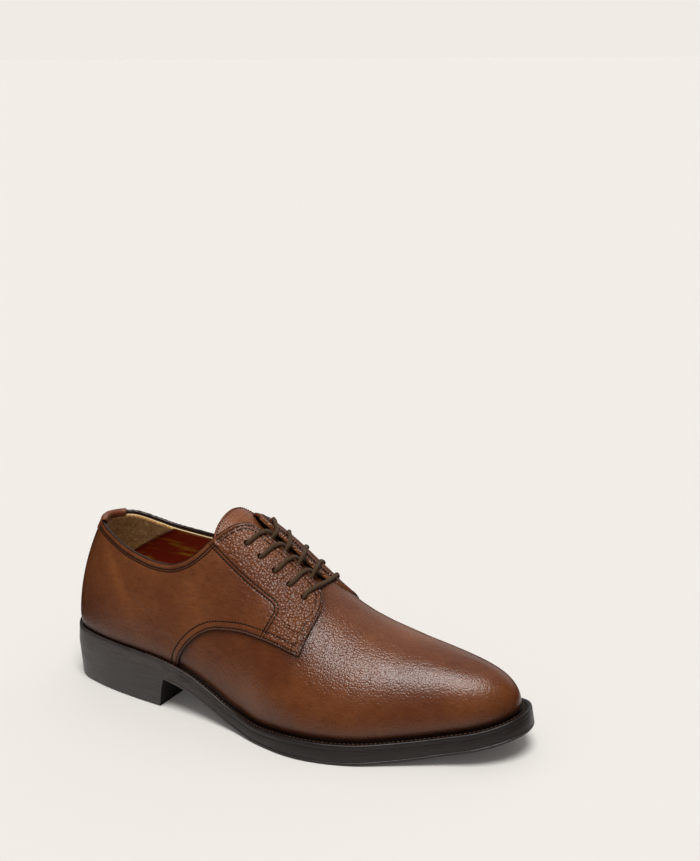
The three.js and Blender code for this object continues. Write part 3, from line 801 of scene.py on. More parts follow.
def stitched(name, lines, pitch, length, thickness, material):
    """A plain mesh of stitches along several lines of points."""
    points, edges = [], []
    for line in lines:
        line = np.asarray(line, float)
        if len(line) < 2:
            continue
        edges += [(len(points) + k, len(points) + k + 1) for k in range(len(line) - 1)]
        points += list(line)
    guide_mesh = bpy.data.meshes.new(name + "_guide")
    guide_mesh.from_pydata([tuple(p) for p in to_frame(points)], edges, [])
    guide = placed(name + "_guide", guide_mesh)
    modifier = guide.modifiers.new("stitches", "NODES")
    modifier.node_group = STITCHES
    sockets = {item.name: item.identifier for item in STITCHES.interface.items_tree if item.in_out == "INPUT"}
    for size, value in zip(STITCH_SIZES, (pitch, length, thickness)):
        modifier[sockets[size]] = value * MM
    modifier[sockets["Thread"]] = material
    evaluated = guide.evaluated_get(bpy.context.evaluated_depsgraph_get())
    mesh = bpy.data.meshes.new_from_object(evaluated)
    mesh.name = name
    bpy.data.objects.remove(guide)
    return placed(name, mesh)


# Pieces of the upper

LINING_OUT = 0.85  # outer face of the lining, above the last
VAMP_IN = 0.9
QUARTER_OUT = WALL + QUARTER_STEP
EDGE_ROUND = 1.1  # radius of a folded leather edge
STITCH_SINK = 0.28
FOOT_TUCK = 1.3  # how far the upper turns in at its foot


def edge_line(side, spacing=0.8):
    """A quarter's edge as close places: share, girth up that side, stitch distances, row number."""
    rows = np.arange(len(QUARTER_EDGE["at"]), dtype=float)
    fine = np.linspace(0, rows[-1], 1600)
    names = ("at", "girth") if side < 0 else ("inner_at", "inner_girth")
    line = {"row": fine}
    for key, name in zip(("at", "girth", "row_1", "row_2"), (*names, "row_1", "row_2")):
        line[key] = smooth_line(rows, QUARTER_EDGE[name], fine)
    line["at"] = np.clip(line["at"], 0, 1)
    line["girth"] = np.maximum(line["girth"], 0)
    run = run_along(last_point(station_of(line["at"]), side_girth(side, line["girth"])))
    even = np.linspace(0, run[-1], int(run[-1] / spacing))
    line = {key: np.interp(even, run, values) for key, values in line.items()}
    line["u"] = station_of(line["at"])
    line["place"] = side_girth(side, line["girth"])
    line["points"] = last_point(line["u"], line["place"])
    line["front"] = line["at"].argmax()
    return line


EDGES = {side: edge_line(side) for side in (-1, 1)}


def edge_girth(side, at, lower):
    """Girth of the quarter's upper or lower edge at a share of the length."""
    line = EDGES[side]
    part = slice(line["front"], None) if lower else slice(0, line["front"] + 1)
    x, y = line["at"][part], line["girth"][part]
    order = np.argsort(x)
    return np.interp(at, x[order], y[order])


def seam_line(side):
    rows = np.arange(len(FACING_SEAM["at"]), dtype=float)
    fine = np.linspace(0, rows[-1], 300)
    share, girth = (smooth_line(rows, FACING_SEAM[name], fine) for name in ("at", "girth"))
    return station_of(share), side_girth(side, girth)


def signed_seam(points, normals, side):
    """Signed distance from the facing's seam: the facing is on the positive side."""
    u, girth = seam_line(side)
    line = last_point(u, girth)
    distance, nearest = distance_to(points, line)
    along = unit(np.gradient(line, axis=0))[nearest]
    across = np.cross(normals, along)
    sign = np.where(((points - line[nearest]) * across).sum(-1) * -side > 0, 1.0, -1.0)
    return distance * sign


def burnish_and_shade_at(u, girth):
    """How dark the leather is made: burnished at the heel and the toe's edge, and painted shade low on the
    sides.
    """
    share = share_of(u)
    low = np.minimum(girth, 1 - girth)
    # Painted shade low on the sides, near the sole
    foot = np.exp(-((low / 0.055) ** 1.3)) * 0.55
    heel = np.exp(-((share / 0.07) ** 1.5)) * 0.45
    toe = np.clip((share - 0.86) / 0.14, 0, 1) ** 1.4 * np.exp(-low / 0.25) * 0.5
    return np.clip(foot + heel + toe, 0, 1)


def grain_at(u, girth):
    """How strongly the pebbles stand: most over the vamp's ridge, least over the toe and at the heel."""
    share = share_of(u)
    low = np.minimum(girth, 1 - girth)
    return 0.19 + 0.26 * bell(share - 0.6, 0.2) * (0.3 + 0.7 * np.clip(low / 0.3, 0, 1))


def creases(points):
    """Soft creases on the outer quarter: place, slope, length, width and depth of each, in mm."""
    x, z = points[..., 0], points[..., 2]
    fold = 0.0
    for cx, cz, slope, length, width, depth in (
        (44, 84, 0.95, 15, 1.7, 0.13),
        (51, 79, 0.9, 14, 1.6, 0.12),
        (58, 68, 0.5, 18, 1.8, 0.12),
        (66, 63, 0.3, 18, 1.7, 0.1),
        (74, 57, 0.25, 18, 1.8, 0.1),
        (108, 78, 0.5, 16, 2.2, 0.12),
        (122, 62, 0.35, 22, 2.2, 0.1),
        (92, 46, 0.1, 26, 2.6, 0.1),
    ):
        along = (x - cx) * np.cos(slope) - (z - cz) * np.sin(slope)
        across = (x - cx) * np.sin(slope) + (z - cz) * np.cos(slope) + 1.4 * np.sin(along / 6.0)
        fold = fold + depth * bell(along, length) * (bell(across - 2.2, width) - bell(across, width))
    return fold


def worn_at(points, side):
    """Where the dye is pulled lighter: a streak down from the collar behind the ankle, and over the instep."""
    if side > 0:
        return np.zeros(points.shape[:-1])
    x, z = points[..., 0], points[..., 2]
    along = (x - 48) * 0.62 - (z - 76) * 0.78
    across = (x - 48) * 0.78 + (z - 76) * 0.62
    return np.clip(0.9 * bell(across + 2, 5) * bell(along, 20) + 0.5 * bell(x - 66, 22) * bell(z - 58, 10), 0, 1)


def round_over(distance, radius=EDGE_ROUND):
    """Share of the full thickness at a distance from a rounded edge."""
    t = np.clip(distance / radius, 0, 1)
    return np.sqrt(1 - (1 - t) ** 2)


NEAR_EDGE = np.array([0, 0.12, 0.3, 0.55, 0.85, 1.3, 1.9, 2.6, 3.3, 4.0, 4.7, 5.4, 6.2])
NEAR_ARC = np.array([0, 0.12, 0.35, 0.7, 1.2, 1.9, 2.8, 3.8, 4.6, 5.4])


def quarter_stations():
    """Stations from the heel to the quarter's front, closer together where its edge turns."""
    front = EDGES[-1]["at"].max() - 1e-4
    steps = np.array([0.0246, 0.02, 0.0155, 0.0115, 0.008, 0.0055, 0.0036, 0.0022, 0.0012, 0.0005, 0])
    return np.concatenate(
        [
            np.linspace(0, station_of(0.29), 84)[:-1],
            station_of(np.linspace(0.29, 0.4, 44))[:-1],
            station_of(np.linspace(0.4, 0.58, 60))[:-1],
            station_of(front - steps),
        ]
    )


def quarter_girths(side, half):
    """Girths up a quarter, close together along its lower and upper edge: the lowest, all, and their shares."""
    share = share_of(half)[:, None]
    bottom, top = edge_girth(side, share, True), edge_girth(side, share, False)
    bottom = np.where(share < ARC_FOOT, 0, bottom)
    top = np.maximum(top, bottom + 1e-4)
    section = last_point(half[:, None], bottom + (top - bottom) * np.linspace(0, 1, 40))
    length = np.linalg.norm(np.diff(section, axis=1), axis=2).sum(1)[:, None]
    squeeze = np.minimum(1, length * 0.45 / (NEAR_EDGE[-1] + NEAR_ARC[-1]))
    low = NEAR_ARC * squeeze / length
    high = 1 - NEAR_EDGE[::-1] * squeeze / length
    between = low[:, -1:] + (high[:, :1] - low[:, -1:]) * np.linspace(0, 1, 84)[1:-1]
    fraction = np.concatenate([low, between, high], 1)
    return bottom, bottom + (top - bottom) * fraction, fraction


def quarter_grid(side, half):
    """Places on one quarter, with how far each lies from its edge, its stitch rows and its seam."""
    line = EDGES[side]
    bottom, girth, fraction = quarter_girths(side, half)
    share = share_of(half)[:, None]
    behind = share < ARC_FOOT
    place = side_girth(side, girth)
    u = np.broadcast_to(half[:, None], girth.shape)
    base, normal = last_point(u, place), last_normal(u, place)
    distance, nearest = distance_to(base, line["points"])
    distance = np.where(behind & (fraction < 0.5), np.maximum(distance, 3), distance)
    on_edge = (fraction >= 1 - 1e-9) | ((fraction <= 1e-9) & ~behind) | (half[:, None] >= half[-1])
    row = line["row"][nearest]
    return SimpleNamespace(
        share=share,
        u=u,
        place=place,
        base=base,
        normal=normal,
        behind=behind,
        distance=np.where(on_edge, 0, distance),
        row=row,
        row_1=line["row_1"][nearest],
        row_2=line["row_2"][nearest],
        collar=row < SLOT_ROW,
        slot=(row >= SLOT_ROW) & (row < FRONT_ROW),
        seam=signed_seam(base, normal, side),
        on_vamp=~behind & (girth < bottom + 0.09),
        foot=np.clip(1 - girth / 0.03, 0, 1) * behind,
    )


def quarter_offsets(side, grid):
    """Outer and inner face over the last: folded edges, sunk rows, creases and the pull of the lace."""
    distance, seam = grid.distance, grid.seam
    inner = np.where(grid.on_vamp, WALL + 0.05, LINING_OUT + 0.05)
    core = np.where(grid.collar, (QUARTER_OUT + inner) / 2, inner)
    thick = 0.06 + 0.94 * round_over(distance)
    outer = core + (QUARTER_OUT - core) * thick
    inner = core + (inner - core) * thick
    for at in (grid.row_1, grid.row_2):
        outer = outer - STITCH_SINK * bell(distance - at, 0.6)
    outer = outer + 0.35 * bell(distance - grid.row_1 * 0.55, grid.row_1 * 0.28)
    on_face = distance > 1.5
    for at in (-SEAM_APART, SEAM_APART):
        outer = outer - 0.3 * bell(seam - at, 0.45) * on_face
    outer = outer + 0.25 / (1 + np.exp(-seam * 2.5)) * on_face * (grid.share > 0.33)
    outer = outer + creases(grid.base) * np.clip((distance - 4) / 8, 0, 1) * (side < 0)
    outer = outer - FOOT_TUCK * grid.foot**2
    pulled = laced_down(distance, grid.row, side)
    return outer - pulled, inner - pulled


def quarter_marks(side, grid):
    """What the leather's shader reads at each place of a quarter. under is for its hidden face."""
    distance = grid.distance
    # The inner facing stays brown at its top corner
    bare = np.where((side > 0) & (grid.share > 0.3), 0.2, 1.0)
    paint_and_shadow = np.where(grid.collar, fade(distance, 0.55, 1.15), fade(distance, 0.3, 0.9))
    # Painted shadow at the upper's foot, where it turns in to the welt
    paint_and_shadow = np.maximum(paint_and_shadow * bare, foot_painted_shadow(grid.base, grid.behind))
    # Along the slot, only a dark line painted about 1 mm in from the edge
    paint_and_shadow = np.where(grid.slot, 0.8 * bell(distance - 1.05, 0.3), paint_and_shadow)
    edge = np.where((distance < 0.05) & ~grid.slot, 0.6, 0.0)
    under = np.where(grid.collar & (grid.share < 0.3), 1.0, 0.45 * bare * np.clip(distance / 0.8, 0, 1))
    facing = 0.58 * np.clip(grid.seam / 3, 0, 1) * np.clip((grid.share - 0.3) / 0.05, 0, 1)
    near_rim = np.where(grid.collar, np.clip(distance / 3, 0.1, 1), 1)
    return {
        "paint_and_shadow": paint_and_shadow,
        "inside": edge,
        "under": np.where(edge > 0.5, 0.6, under),
        "row": np.minimum(np.abs(distance - grid.row_1), np.abs(distance - grid.row_2)),
        "seam": np.clip(grid.seam, -6, 6),
        "burnish_and_shade": burnish_and_shade_at(grid.u, grid.place),
        "grain": (grain_at(grid.u, grid.place) + facing) * near_rim,
        # Wear streaks, and a painted highlight on the slot's rolled edge
        "lightened": np.maximum(worn_at(grid.base, side), grid.slot * fade(distance, 0.35, 0.7)),
    }


def quarters():
    """Both quarters and their facings as one skin round the heel, edges folded, stitched rows pressed in."""
    half = quarter_stations()
    parts = []
    for side in (-1, 1):
        grid = quarter_grid(side, half)
        part = quarter_marks(side, grid)
        for name, offset in zip(("high", "low"), quarter_offsets(side, grid)):
            part[name] = sunk(grid.base + grid.normal * offset[..., None], grid.foot)
        parts.append(part)
    joined = {name: round_the_heel(parts[0][name], parts[1][name]) for name in parts[0]}
    high, low = joined.pop("high"), joined.pop("low")
    joined["inside"] = (joined["inside"], joined.pop("under"))
    return punched(closed_sheet("quarters", high, low, LEATHER, attributes=joined))


def round_the_heel(outer, inner):
    """Joins the two sides of a sheet, each from the heel forward, into one that runs round the heel."""
    return np.concatenate([outer[::-1], inner[1:]])[::-1]


def laced_down(distance, row, side):
    """How far the lace pulls a facing down along the slot, in mm: the inner one rolls over its edge."""
    beside_slot = np.clip((row - SLOT_ROW + 2.5) / 2, 0, 1) * np.clip((FRONT_ROW - 2 - row) / 2, 0, 1)
    return beside_slot * (1.5 * bell(distance, 3.2) - 0.9 * bell(distance - 6, 3.2)) * (side > 0)


def foot_painted_shadow(points, wanted=True):
    """Painted shadow where the upper turns in to the welt, by the height over its foot in mm."""
    height = points[..., 2] - welt_top_at(points[..., 0])
    return np.where(wanted, fade(height, 1.6, 4.6), 0)


def sunk(points, foot):
    """Lets the foot of the upper drop into the welt's channel."""
    points = points.copy()
    points[..., 2] -= 1.6 * foot
    return points


def eyelet_places(side):
    share = np.linspace(EYELET_FIRST, EYELET_LAST, EYELETS)
    return station_of(share), np.full(EYELETS, EYELET_GIRTH if side < 0 else 1 - EYELET_GIRTH)


def cylinder_along(centre, axis, radius, length, sides=20):
    """A plain drill for a boolean cut."""
    turn = np.array(Vector(axis).to_track_quat("Z", "Y").to_matrix())
    angles = np.linspace(0, 2 * np.pi, sides, endpoint=False)
    ring = np.stack([radius * np.cos(angles), radius * np.sin(angles)], -1)
    ends = [np.insert(ring, 2, z, axis=1) @ turn.T + centre for z in (-length / 2, length / 2)]
    faces = [tuple(reversed(range(sides))), tuple(range(sides, 2 * sides))]
    faces += [(k, (k + 1) % sides, sides + (k + 1) % sides, sides + k) for k in range(sides)]
    return [tuple(point) for point in np.concatenate(ends)], faces


def punched(piece):
    """Cuts the eyelets through a piece."""
    points, faces = [], []
    for side in (-1, 1):
        u, girth = eyelet_places(side)
        for centre, axis in zip(off_last(u, girth, np.full(EYELETS, QUARTER_OUT / 2)), last_normal(u, girth)):
            ring, sides = cylinder_along(centre, axis, EYELET_HOLE / 2, 9)
            faces += [tuple(v + len(points) for v in f) for f in sides]
            points += ring
    drills = make_mesh("drills", points, faces, LEATHER)
    cut = piece.modifiers.new("eyelets", "BOOLEAN")
    cut.operation = "DIFFERENCE"
    cut.solver = "EXACT"
    cut.object = drills
    evaluated = piece.evaluated_get(bpy.context.evaluated_depsgraph_get())
    mesh = bpy.data.meshes.new_from_object(evaluated)
    piece.modifiers.clear()
    piece.data = mesh
    bpy.data.objects.remove(drills)
    mesh.materials.clear()
    mesh.materials.append(LEATHER)
    return piece


def vamp():
    """Vamp from under the quarters to the toe, tight over the last, its foot down in the welt's channel."""
    u = np.concatenate([station_of(np.linspace(0.285, 0.62, 90))[:-1], np.linspace(station_of(0.62), 1, 96)])
    rows = np.concatenate([[0, 0.006, 0.013, 0.021], np.linspace(0.03, 0.5, 68)])
    girth = np.concatenate([rows, (1 - rows[::-1])[1:]])
    uu, gg = np.meshgrid(u, girth, indexing="ij")
    base, normal = last_point(uu, gg), last_normal(uu, gg)
    share = share_of(uu)
    low = np.minimum(gg, 1 - gg)
    foot = np.clip(1 - low / 0.03, 0, 1)
    # Break of the vamp behind the toe, hardly worn in
    ripple = 0.0
    for x0, slope, width, depth in ((208, 0.12, 3.2, 0.12), (197, 0.05, 3.4, 0.1)):
        at = base[..., 0] - x0 - slope * base[..., 1]
        ripple = ripple - depth * bell(at, width) * np.clip(low / 0.25, 0, 1)
    outer = WALL + ripple - FOOT_TUCK * foot**2
    inner = np.minimum(VAMP_IN, outer - 0.3)
    middle_share = (share[:-1, :-1] + share[1:, 1:]) / 2
    middle_low = (low[:-1, :-1] + low[1:, 1:]) / 2
    keep = (middle_share > THROAT_END) | (middle_low < edge_girth(-1, middle_share, True) + 0.035)
    return closed_sheet(
        "vamp",
        sunk(base + normal * outer[..., None], foot),
        sunk(base + normal * inner[..., None], foot),
        VAMP_LEATHER,
        keep,
        (False, True),
        {
            # Painted shadow along the vamp's foot, where it turns in to the welt
            "paint_and_shadow": foot_painted_shadow(base),
            "inside": np.zeros(share.shape),
            "row": np.full(share.shape, 6.0),
            "seam": np.full(share.shape, 6.0),
            # A darker tone over the whole vamp, burnish at the toe, painted shade low on the sides and painted
            # shadow along the quarter's edge
            "burnish_and_shade": np.clip(0.14 + burnish_and_shade_at(uu, gg) + shadow_of_quarter(base), 0, 1),
            "grain": grain_at(uu, gg),
            "lightened": np.zeros(share.shape),
        },
    )


def shadow_of_quarter(points):
    """Painted shadow on the vamp along the quarter's edge."""
    edges = [line["points"][line["front"] // 2 :] for line in EDGES.values()]
    least = distance_to(points, np.concatenate(edges))[0]
    return 0.55 * np.exp(-((least / 3.2) ** 1.4))


def lining():
    """Lining of the whole upper, its cut edge a little below the rim, open at the collar and the throat."""
    u = np.concatenate([np.linspace(0, station_of(0.4), 90)[:-1], np.linspace(station_of(0.4), 1, 60)])
    fraction = np.concatenate([np.linspace(0, 0.9, 24), [0.93, 0.955, 0.975, 0.987, 0.995, 1.0]])
    share = share_of(u)
    parts = []
    for side in (-1, 1):
        drop = np.where(share < 0.37, 0.0095, 0.002)
        open_to = EDGES[side]["at"].max() - 0.004
        top = np.where(share < open_to, edge_girth(side, share, False) - drop, 0.5)
        top = np.where(share > THROAT_END, 0.5, top)
        place = side_girth(side, top[:, None] * fraction)
        uu = np.broadcast_to(u[:, None], place.shape)
        base, normal = last_point(uu, place), last_normal(uu, place)
        closed = share > THROAT_END
        distance = distance_to(base, base[~closed, -1])[0]
        distance = np.where(share[:, None] > 0.345, 12, distance)
        parts.append((base, normal, distance))
    # Rows run up the outer side and down the inner side, with the opening between them
    base, normal, edge = (np.concatenate([a, b[:, ::-1]], 1) for a, b in zip(*parts))
    keep = np.ones((len(u) - 1, base.shape[1] - 1), bool)
    middle = len(fraction) - 1
    closed = (share[:-1] + share[1:]) / 2 > THROAT_END
    keep[:, middle] = closed & (np.linalg.norm(base[:-1, middle] - base[:-1, middle + 1], axis=-1) > 1e-6)
    high = base + normal * LINING_OUT
    low = base + normal * 0.05
    # Painted shade deep in the throat, where the facings cover the lining
    shade = np.broadcast_to(np.clip((share[:, None] - 0.33) / 0.04, 0, 1), edge.shape)
    return closed_sheet("lining", high, low, LINING, keep, (True, True), {"edge": edge, "shade": shade})


def heel_grip():
    """Suede piece inside the heel, sewn over the lining, its front edge slanting forward to the top."""
    t = np.linspace(0, 1, 50)
    fraction = np.concatenate([[0, 0.01, 0.03], np.linspace(0.06, 0.94, 30), [0.97, 0.99, 1]])
    front = np.maximum(0.154 - 0.22 * (1 - fraction), 0.02)
    u = t[:, None] * station_of(front)
    border = np.minimum(np.minimum(fraction, 1 - fraction) * 70, ((1 - t) * 45)[:, None])
    thick = 0.15 + 0.6 * round_over(border, 0.8)
    parts = []
    for side in (-1, 1):
        top = edge_girth(side, share_of(u), False) - 0.009
        place = side_girth(side, 0.004 + (top - 0.004) * fraction)
        base, normal = last_point(u, place), last_normal(u, place)
        parts.append((base + normal * 0.02, base - normal * thick[..., None], border))
    high, low, edge = (round_the_heel(outer, inner) for outer, inner in zip(*parts))
    return closed_sheet("heel_grip", high, low, SUEDE, attributes={"edge": edge})


def tongue():
    """Tongue pressed down under the laces, its free end straight across, with one row of stitches round it."""
    across = np.concatenate([[-1, -0.99, -0.97, -0.93], np.linspace(-0.88, 0.88, 50), [0.93, 0.97, 0.99, 1]])
    down = np.concatenate([[0, 0.002, 0.006, 0.014, 0.025], np.linspace(0.04, 1, 60)])
    tt, dd = np.meshgrid(across, down, indexing="ij")
    top = TONGUE_TOP + TONGUE_LEAN * tt**2
    share = top + (TONGUE_FRONT - top) * dd
    girth = 0.5 + smooth(TONGUE, "half", share) * tt
    base, normal = last_point(station_of(share), girth), last_normal(station_of(share), girth)
    base = base - normal * TONGUE_GAP
    ahead, crown, arch = TONGUE_END
    end_y = 1.5 + 21.5 * tt[:, :1]
    end = np.stack([ahead + 4 * tt[:, :1] ** 6, end_y, crown - (end_y - 5) ** 2 / arch], -1)
    free = np.clip((TONGUE_FREE - share) / (TONGUE_FREE - top), 0, 1)
    base = base + (end - base[:, :1]) * (free**1.15)[..., None]
    normal = grid_normal(base)
    pressed = 2.3 * np.clip((share - 0.33) / 0.06, 0, 1)
    rim = np.concatenate([base[0, ::-1], base[:, 0], base[-1]])
    distance = distance_to(base, rim)[0]
    distance = np.where((np.abs(tt) >= 1) | (dd <= 0), 0, distance)
    thick = TONGUE_THICKNESS * (0.2 + 0.8 * round_over(distance, 1.0))
    thick = thick - 0.22 * bell(distance - TONGUE_ROW, 0.6)
    lower = -TONGUE_THICKNESS - pressed
    outer = base + normal * (lower + thick)[..., None]
    inner = base + normal * lower[..., None]
    piece = closed_sheet(
        "tongue_leather",
        outer[::-1],
        inner[::-1],
        TONGUE_LEATHER,
        attributes={
            "paint_and_shadow": fade(distance, 0.2, 0.7)[::-1],
            "inside": np.zeros(distance.shape),
            "row": np.abs(distance - TONGUE_ROW)[::-1],
            "seam": np.full(distance.shape, 6.0),
            # Painted shade where the tongue lies down in the slot
            "burnish_and_shade": np.clip((share - 0.36) / 0.05, 0, 0.7)[::-1],
            "grain": np.full(distance.shape, 0.6),
            "lightened": np.zeros(distance.shape),
        },
    )
    return piece, tongue_row(outer)


def grid_normal(points):
    """Upward normals of a grid of points."""
    normal = unit(np.cross(np.gradient(points, axis=0), np.gradient(points, axis=1)))
    return normal * np.sign(normal[..., 2:3].mean())


def tongue_row(outer):
    """Places of the tongue's stitch row, a little inside its edge."""

    def steps_in(line):
        return int(np.argmin(np.abs(np.linalg.norm(line - line[0], axis=1) - TONGUE_ROW)[:20]))

    left, head = steps_in(outer[:, 30]), steps_in(outer[30])
    right = len(outer) - 1 - left
    down = slice(head, head + 27)
    return np.concatenate([outer[left, down][:0:-1], outer[left + 1 : right, head], outer[right, down][:-1]])


def back_tab():
    """Tab over the back seam: up the outside, folded over the rim, and down inside the collar."""
    around = np.concatenate([[-1, -0.97, -0.92], np.linspace(-0.85, 0.85, 27), [0.92, 0.97, 1]])
    down, inside = 8.5, 2.3
    heights = np.concatenate([[down, down - 0.2, down - 0.6], np.linspace(down - 1.4, 0.6, 7)])
    depths = np.linspace(0.5, inside, 6)[:, None]
    angles = np.linspace(0, np.pi, 11)[:, None]
    fold = (QUARTER_OUT + 0.25) / 2
    filled = np.concatenate([0 * heights, 1.1 * np.sin(angles[:, 0]), 0 * depths[:, 0]])
    high, low = [], []
    for a in around:
        side = -1 if a < 0 else 1
        u = abs(a) * station_of(TAB_SHARE)
        rim = EDGES[side]["girth"][0] - 0.003 * abs(a)
        top, out = last_point(u, side_girth(side, rim)), last_normal(u, side_girth(side, rim))
        rise = unit(top - last_point(u, side_girth(side, rim - 0.004)))
        turned = out * np.cos(angles) + rise * np.sin(angles)
        outside = off_last(u, side_girth(side, rim - heights / 300), np.full(len(heights), QUARTER_OUT))
        points = np.concatenate([outside, top + (out + turned) * fold, top - rise * depths - out * 0.12])
        facing = np.concatenate([out + 0 * outside, turned, -out + 0 * depths])
        end_distance = np.minimum(np.arange(len(points)), np.arange(len(points))[::-1]) * 0.45
        border = np.minimum(end_distance, (1 - abs(a)) * 9)
        low.append(points + facing * (0.06 - filled)[:, None])
        high.append(points + facing * (0.12 + 0.5 * round_over(border, 0.5))[:, None])
    high, low = np.array(high), np.array(low)
    levels = {"paint_and_shadow": 0, "inside": 0, "row": 6, "seam": 6, "burnish_and_shade": 0.1, "grain": 0.3, "lightened": 0}
    attributes = {name: np.full(high.shape[:2], float(level)) for name, level in levels.items()}
    return closed_sheet("back_tab_leather", high, low, TAB_LEATHER, attributes=attributes)


# Sole


SOLE_U = np.concatenate(
    [np.linspace(0, 0.1, 16)[:-1], np.linspace(0.1, 0.9, 130)[:-1], np.linspace(0.9, 1, 22)]
)


def plate_sections(u, profile):
    """Rings across the sole for a list of (inset, height as a function of x) on each side, top to bottom."""
    sides = []
    for side in (-1, 1):
        rows = []
        for inset, height in profile:
            x, y = edge_point(side, u, inset(u))
            rows.append(np.stack([x, y, height(x)], -1))
        sides.append(np.stack(rows, 1))
    return np.concatenate([sides[0], sides[1][:, ::-1]], 1)


def past_heel(u):
    """0 over the heel, where the joints are sanded flush, and 1 from the waist on."""
    return np.clip((share_of(u) * LENGTH - HEEL_BREAST - 3) / 10, 0, 1)


def outsole():
    """Leather outsole: its edge trimmed square, with a fine line ruled just over the lower corner."""
    full = (SOLE_THICKNESS - WELT_THICKNESS) / SOLE_THICKNESS

    def top(x):
        return welt_top_at(x) - WELT_THICKNESS - 0.02

    def row(inset, share_up, base, lift):
        return (
            lambda u: inset * (past_heel(u) if inset < 1 else 1) + flare_at(u) * full * share_up,
            lambda x: base(x) + lift,
        )

    inner = 16.0
    rows = [
        row(inner, 1, top, 0),
        row(0.2, 1, top, 0),
        row(0.06, 1, top, -0.08),
        row(0, 1, top, -0.25),
        row(0, 0.5, underside_at, 4.2),
        row(0, 0.22, underside_at, 2.15),
        row(0.28, 0.2, underside_at, 1.9),
        row(0, 0.18, underside_at, 1.6),
        row(0, 0.08, underside_at, 0.75),
        row(0.12, 0.03, underside_at, 0.4),
        row(0.35, 0, underside_at, 0.12),
        row(0.8, 0, underside_at, 0),
        row(inner, 0, underside_at, 0),
    ]
    return lofted("outsole_leather", plate_sections(SOLE_U, rows), OUTSOLE_EDGE, sharp=30)


def welt():
    """Welt strip: a raised rim at the outside and a stitched channel that falls to the foot of the upper."""
    around_u = np.concatenate([SOLE_U, SOLE_U[::-1][1:-1]])
    around_side = np.concatenate([np.full(len(SOLE_U), -1), np.full(len(SOLE_U) - 2, 1)])
    ledge = ledge_at(around_u)
    flare_low = flare_at(around_u) * (SOLE_THICKNESS - WELT_THICKNESS) / SOLE_THICKNESS
    flare_high = flare_at(around_u)
    inner = ledge + WALL + WELT_INNER
    channel = ledge - 0.2
    joint = past_heel(around_u)
    # The third value is painted shade: near black down in the channel, between the rim and the upper
    profile = [
        (flare_low + 0.2 * joint, -WELT_THICKNESS + 0.02, 0),
        (flare_low + 0.05 * joint, -WELT_THICKNESS + 0.25, 0),
        (flare_low + (flare_high - flare_low) * 0.6, -1.4, 0),
        (flare_high, -0.8, 0),
        (flare_high + 0.1, -0.45, 0),
        (flare_high + 0.32, -0.17, 0),
        (flare_high + 0.65, -0.02, 0),
        (flare_high + 1.0, 0.0, 0.3),
        (flare_high + (channel - flare_high) * 0.42, -0.06, 0.9),
        (flare_high + (channel - flare_high) * 0.58, -0.45, 1),
        (channel - 0.6, -1.25, 1),
        (channel + 1.2, -1.4, 1),
        (inner, -0.9, 1),
        (inner, -WELT_THICKNESS, 1),
        (flare_low + 1.0, -WELT_THICKNESS, 0),
    ]
    sections, shade = [], []
    for inset, lift, dark in profile:
        x, y = edge_point(around_side, around_u, inset)
        sections.append(np.stack([x, y, welt_top_at(x) + lift], -1))
        shade.append(np.full(len(x), float(dark)))
    rings = np.stack(sections, 1)
    return lofted(
        "welt_leather", rings, WELT_EDGE, around=True, sharp=35, attributes={"shade": np.stack(shade, 1)}
    )


def heel():
    """Stacked heel under ink: one smooth side, and a square breast that leans forward, painted near black as
    painted shadow.
    """
    count = 70
    along = np.append(np.linspace(0, 1, count), 1)
    along[-2] = 0.9996
    sides = []
    for side in (-1, 1):
        columns = []
        for height, extra in ((0.0, 1.0), (0.35, 0.35), (0.75, 0.05), (1.3, 0.0), (14.0, 0.0), (None, 0.0)):
            frac = 1.0 if height is None else height / (HEEL_HEIGHT - GAP)
            u = station_of((HEEL_BREAST + BREAST_LEAN * frac) / LENGTH) * along
            x, y = edge_point(side, u, HEEL_TAPER * (1 - frac) + extra)
            z = underside_at(x) - 0.02 if height is None else np.full_like(x, height)
            columns.append(np.stack([x, y, z], -1))
        sides.append(np.stack(columns, 1))
    sections = np.concatenate([sides[0][:, ::-1], sides[1]], 1)
    # Painted shadow: the breast is near black, as under the waist it lies in shadow
    breast = np.zeros(sections.shape[:2])
    breast[-1] = 1
    piece = lofted("heel_stack", sections, HEEL_EDGE, caps=True, sharp=30, attributes={"shade": breast})
    piece.data.materials.append(BREAST_SHADOW)
    for face in piece.data.polygons:
        face.material_index = int(len(face.vertices) > 4)
    return piece


def sock():
    """Insole with its sock, slightly dished under the foot."""

    def row(inset, lift):
        return lambda u: ledge_at(u) + WALL + 0.1 + inset, lambda x: welt_top_at(x) + lift

    top = 0.5 + INSOLE_THICKNESS
    rows = [row(14, top - 0.4), row(3, top), row(0.4, top - 0.1), row(0, top - 0.5), row(0, 0.3), row(14, 0.3)]
    return lofted("insole_sock", plate_sections(SOLE_U, rows), SOCK, sharp=40)


# Laces

LACE_RADIUS = 1.28  # a little under the solid's, as the lace is pulled tight
LACE_OVER = QUARTER_OUT + LACE_RADIUS
LACE_UNDER = -0.2 - LACE_RADIUS


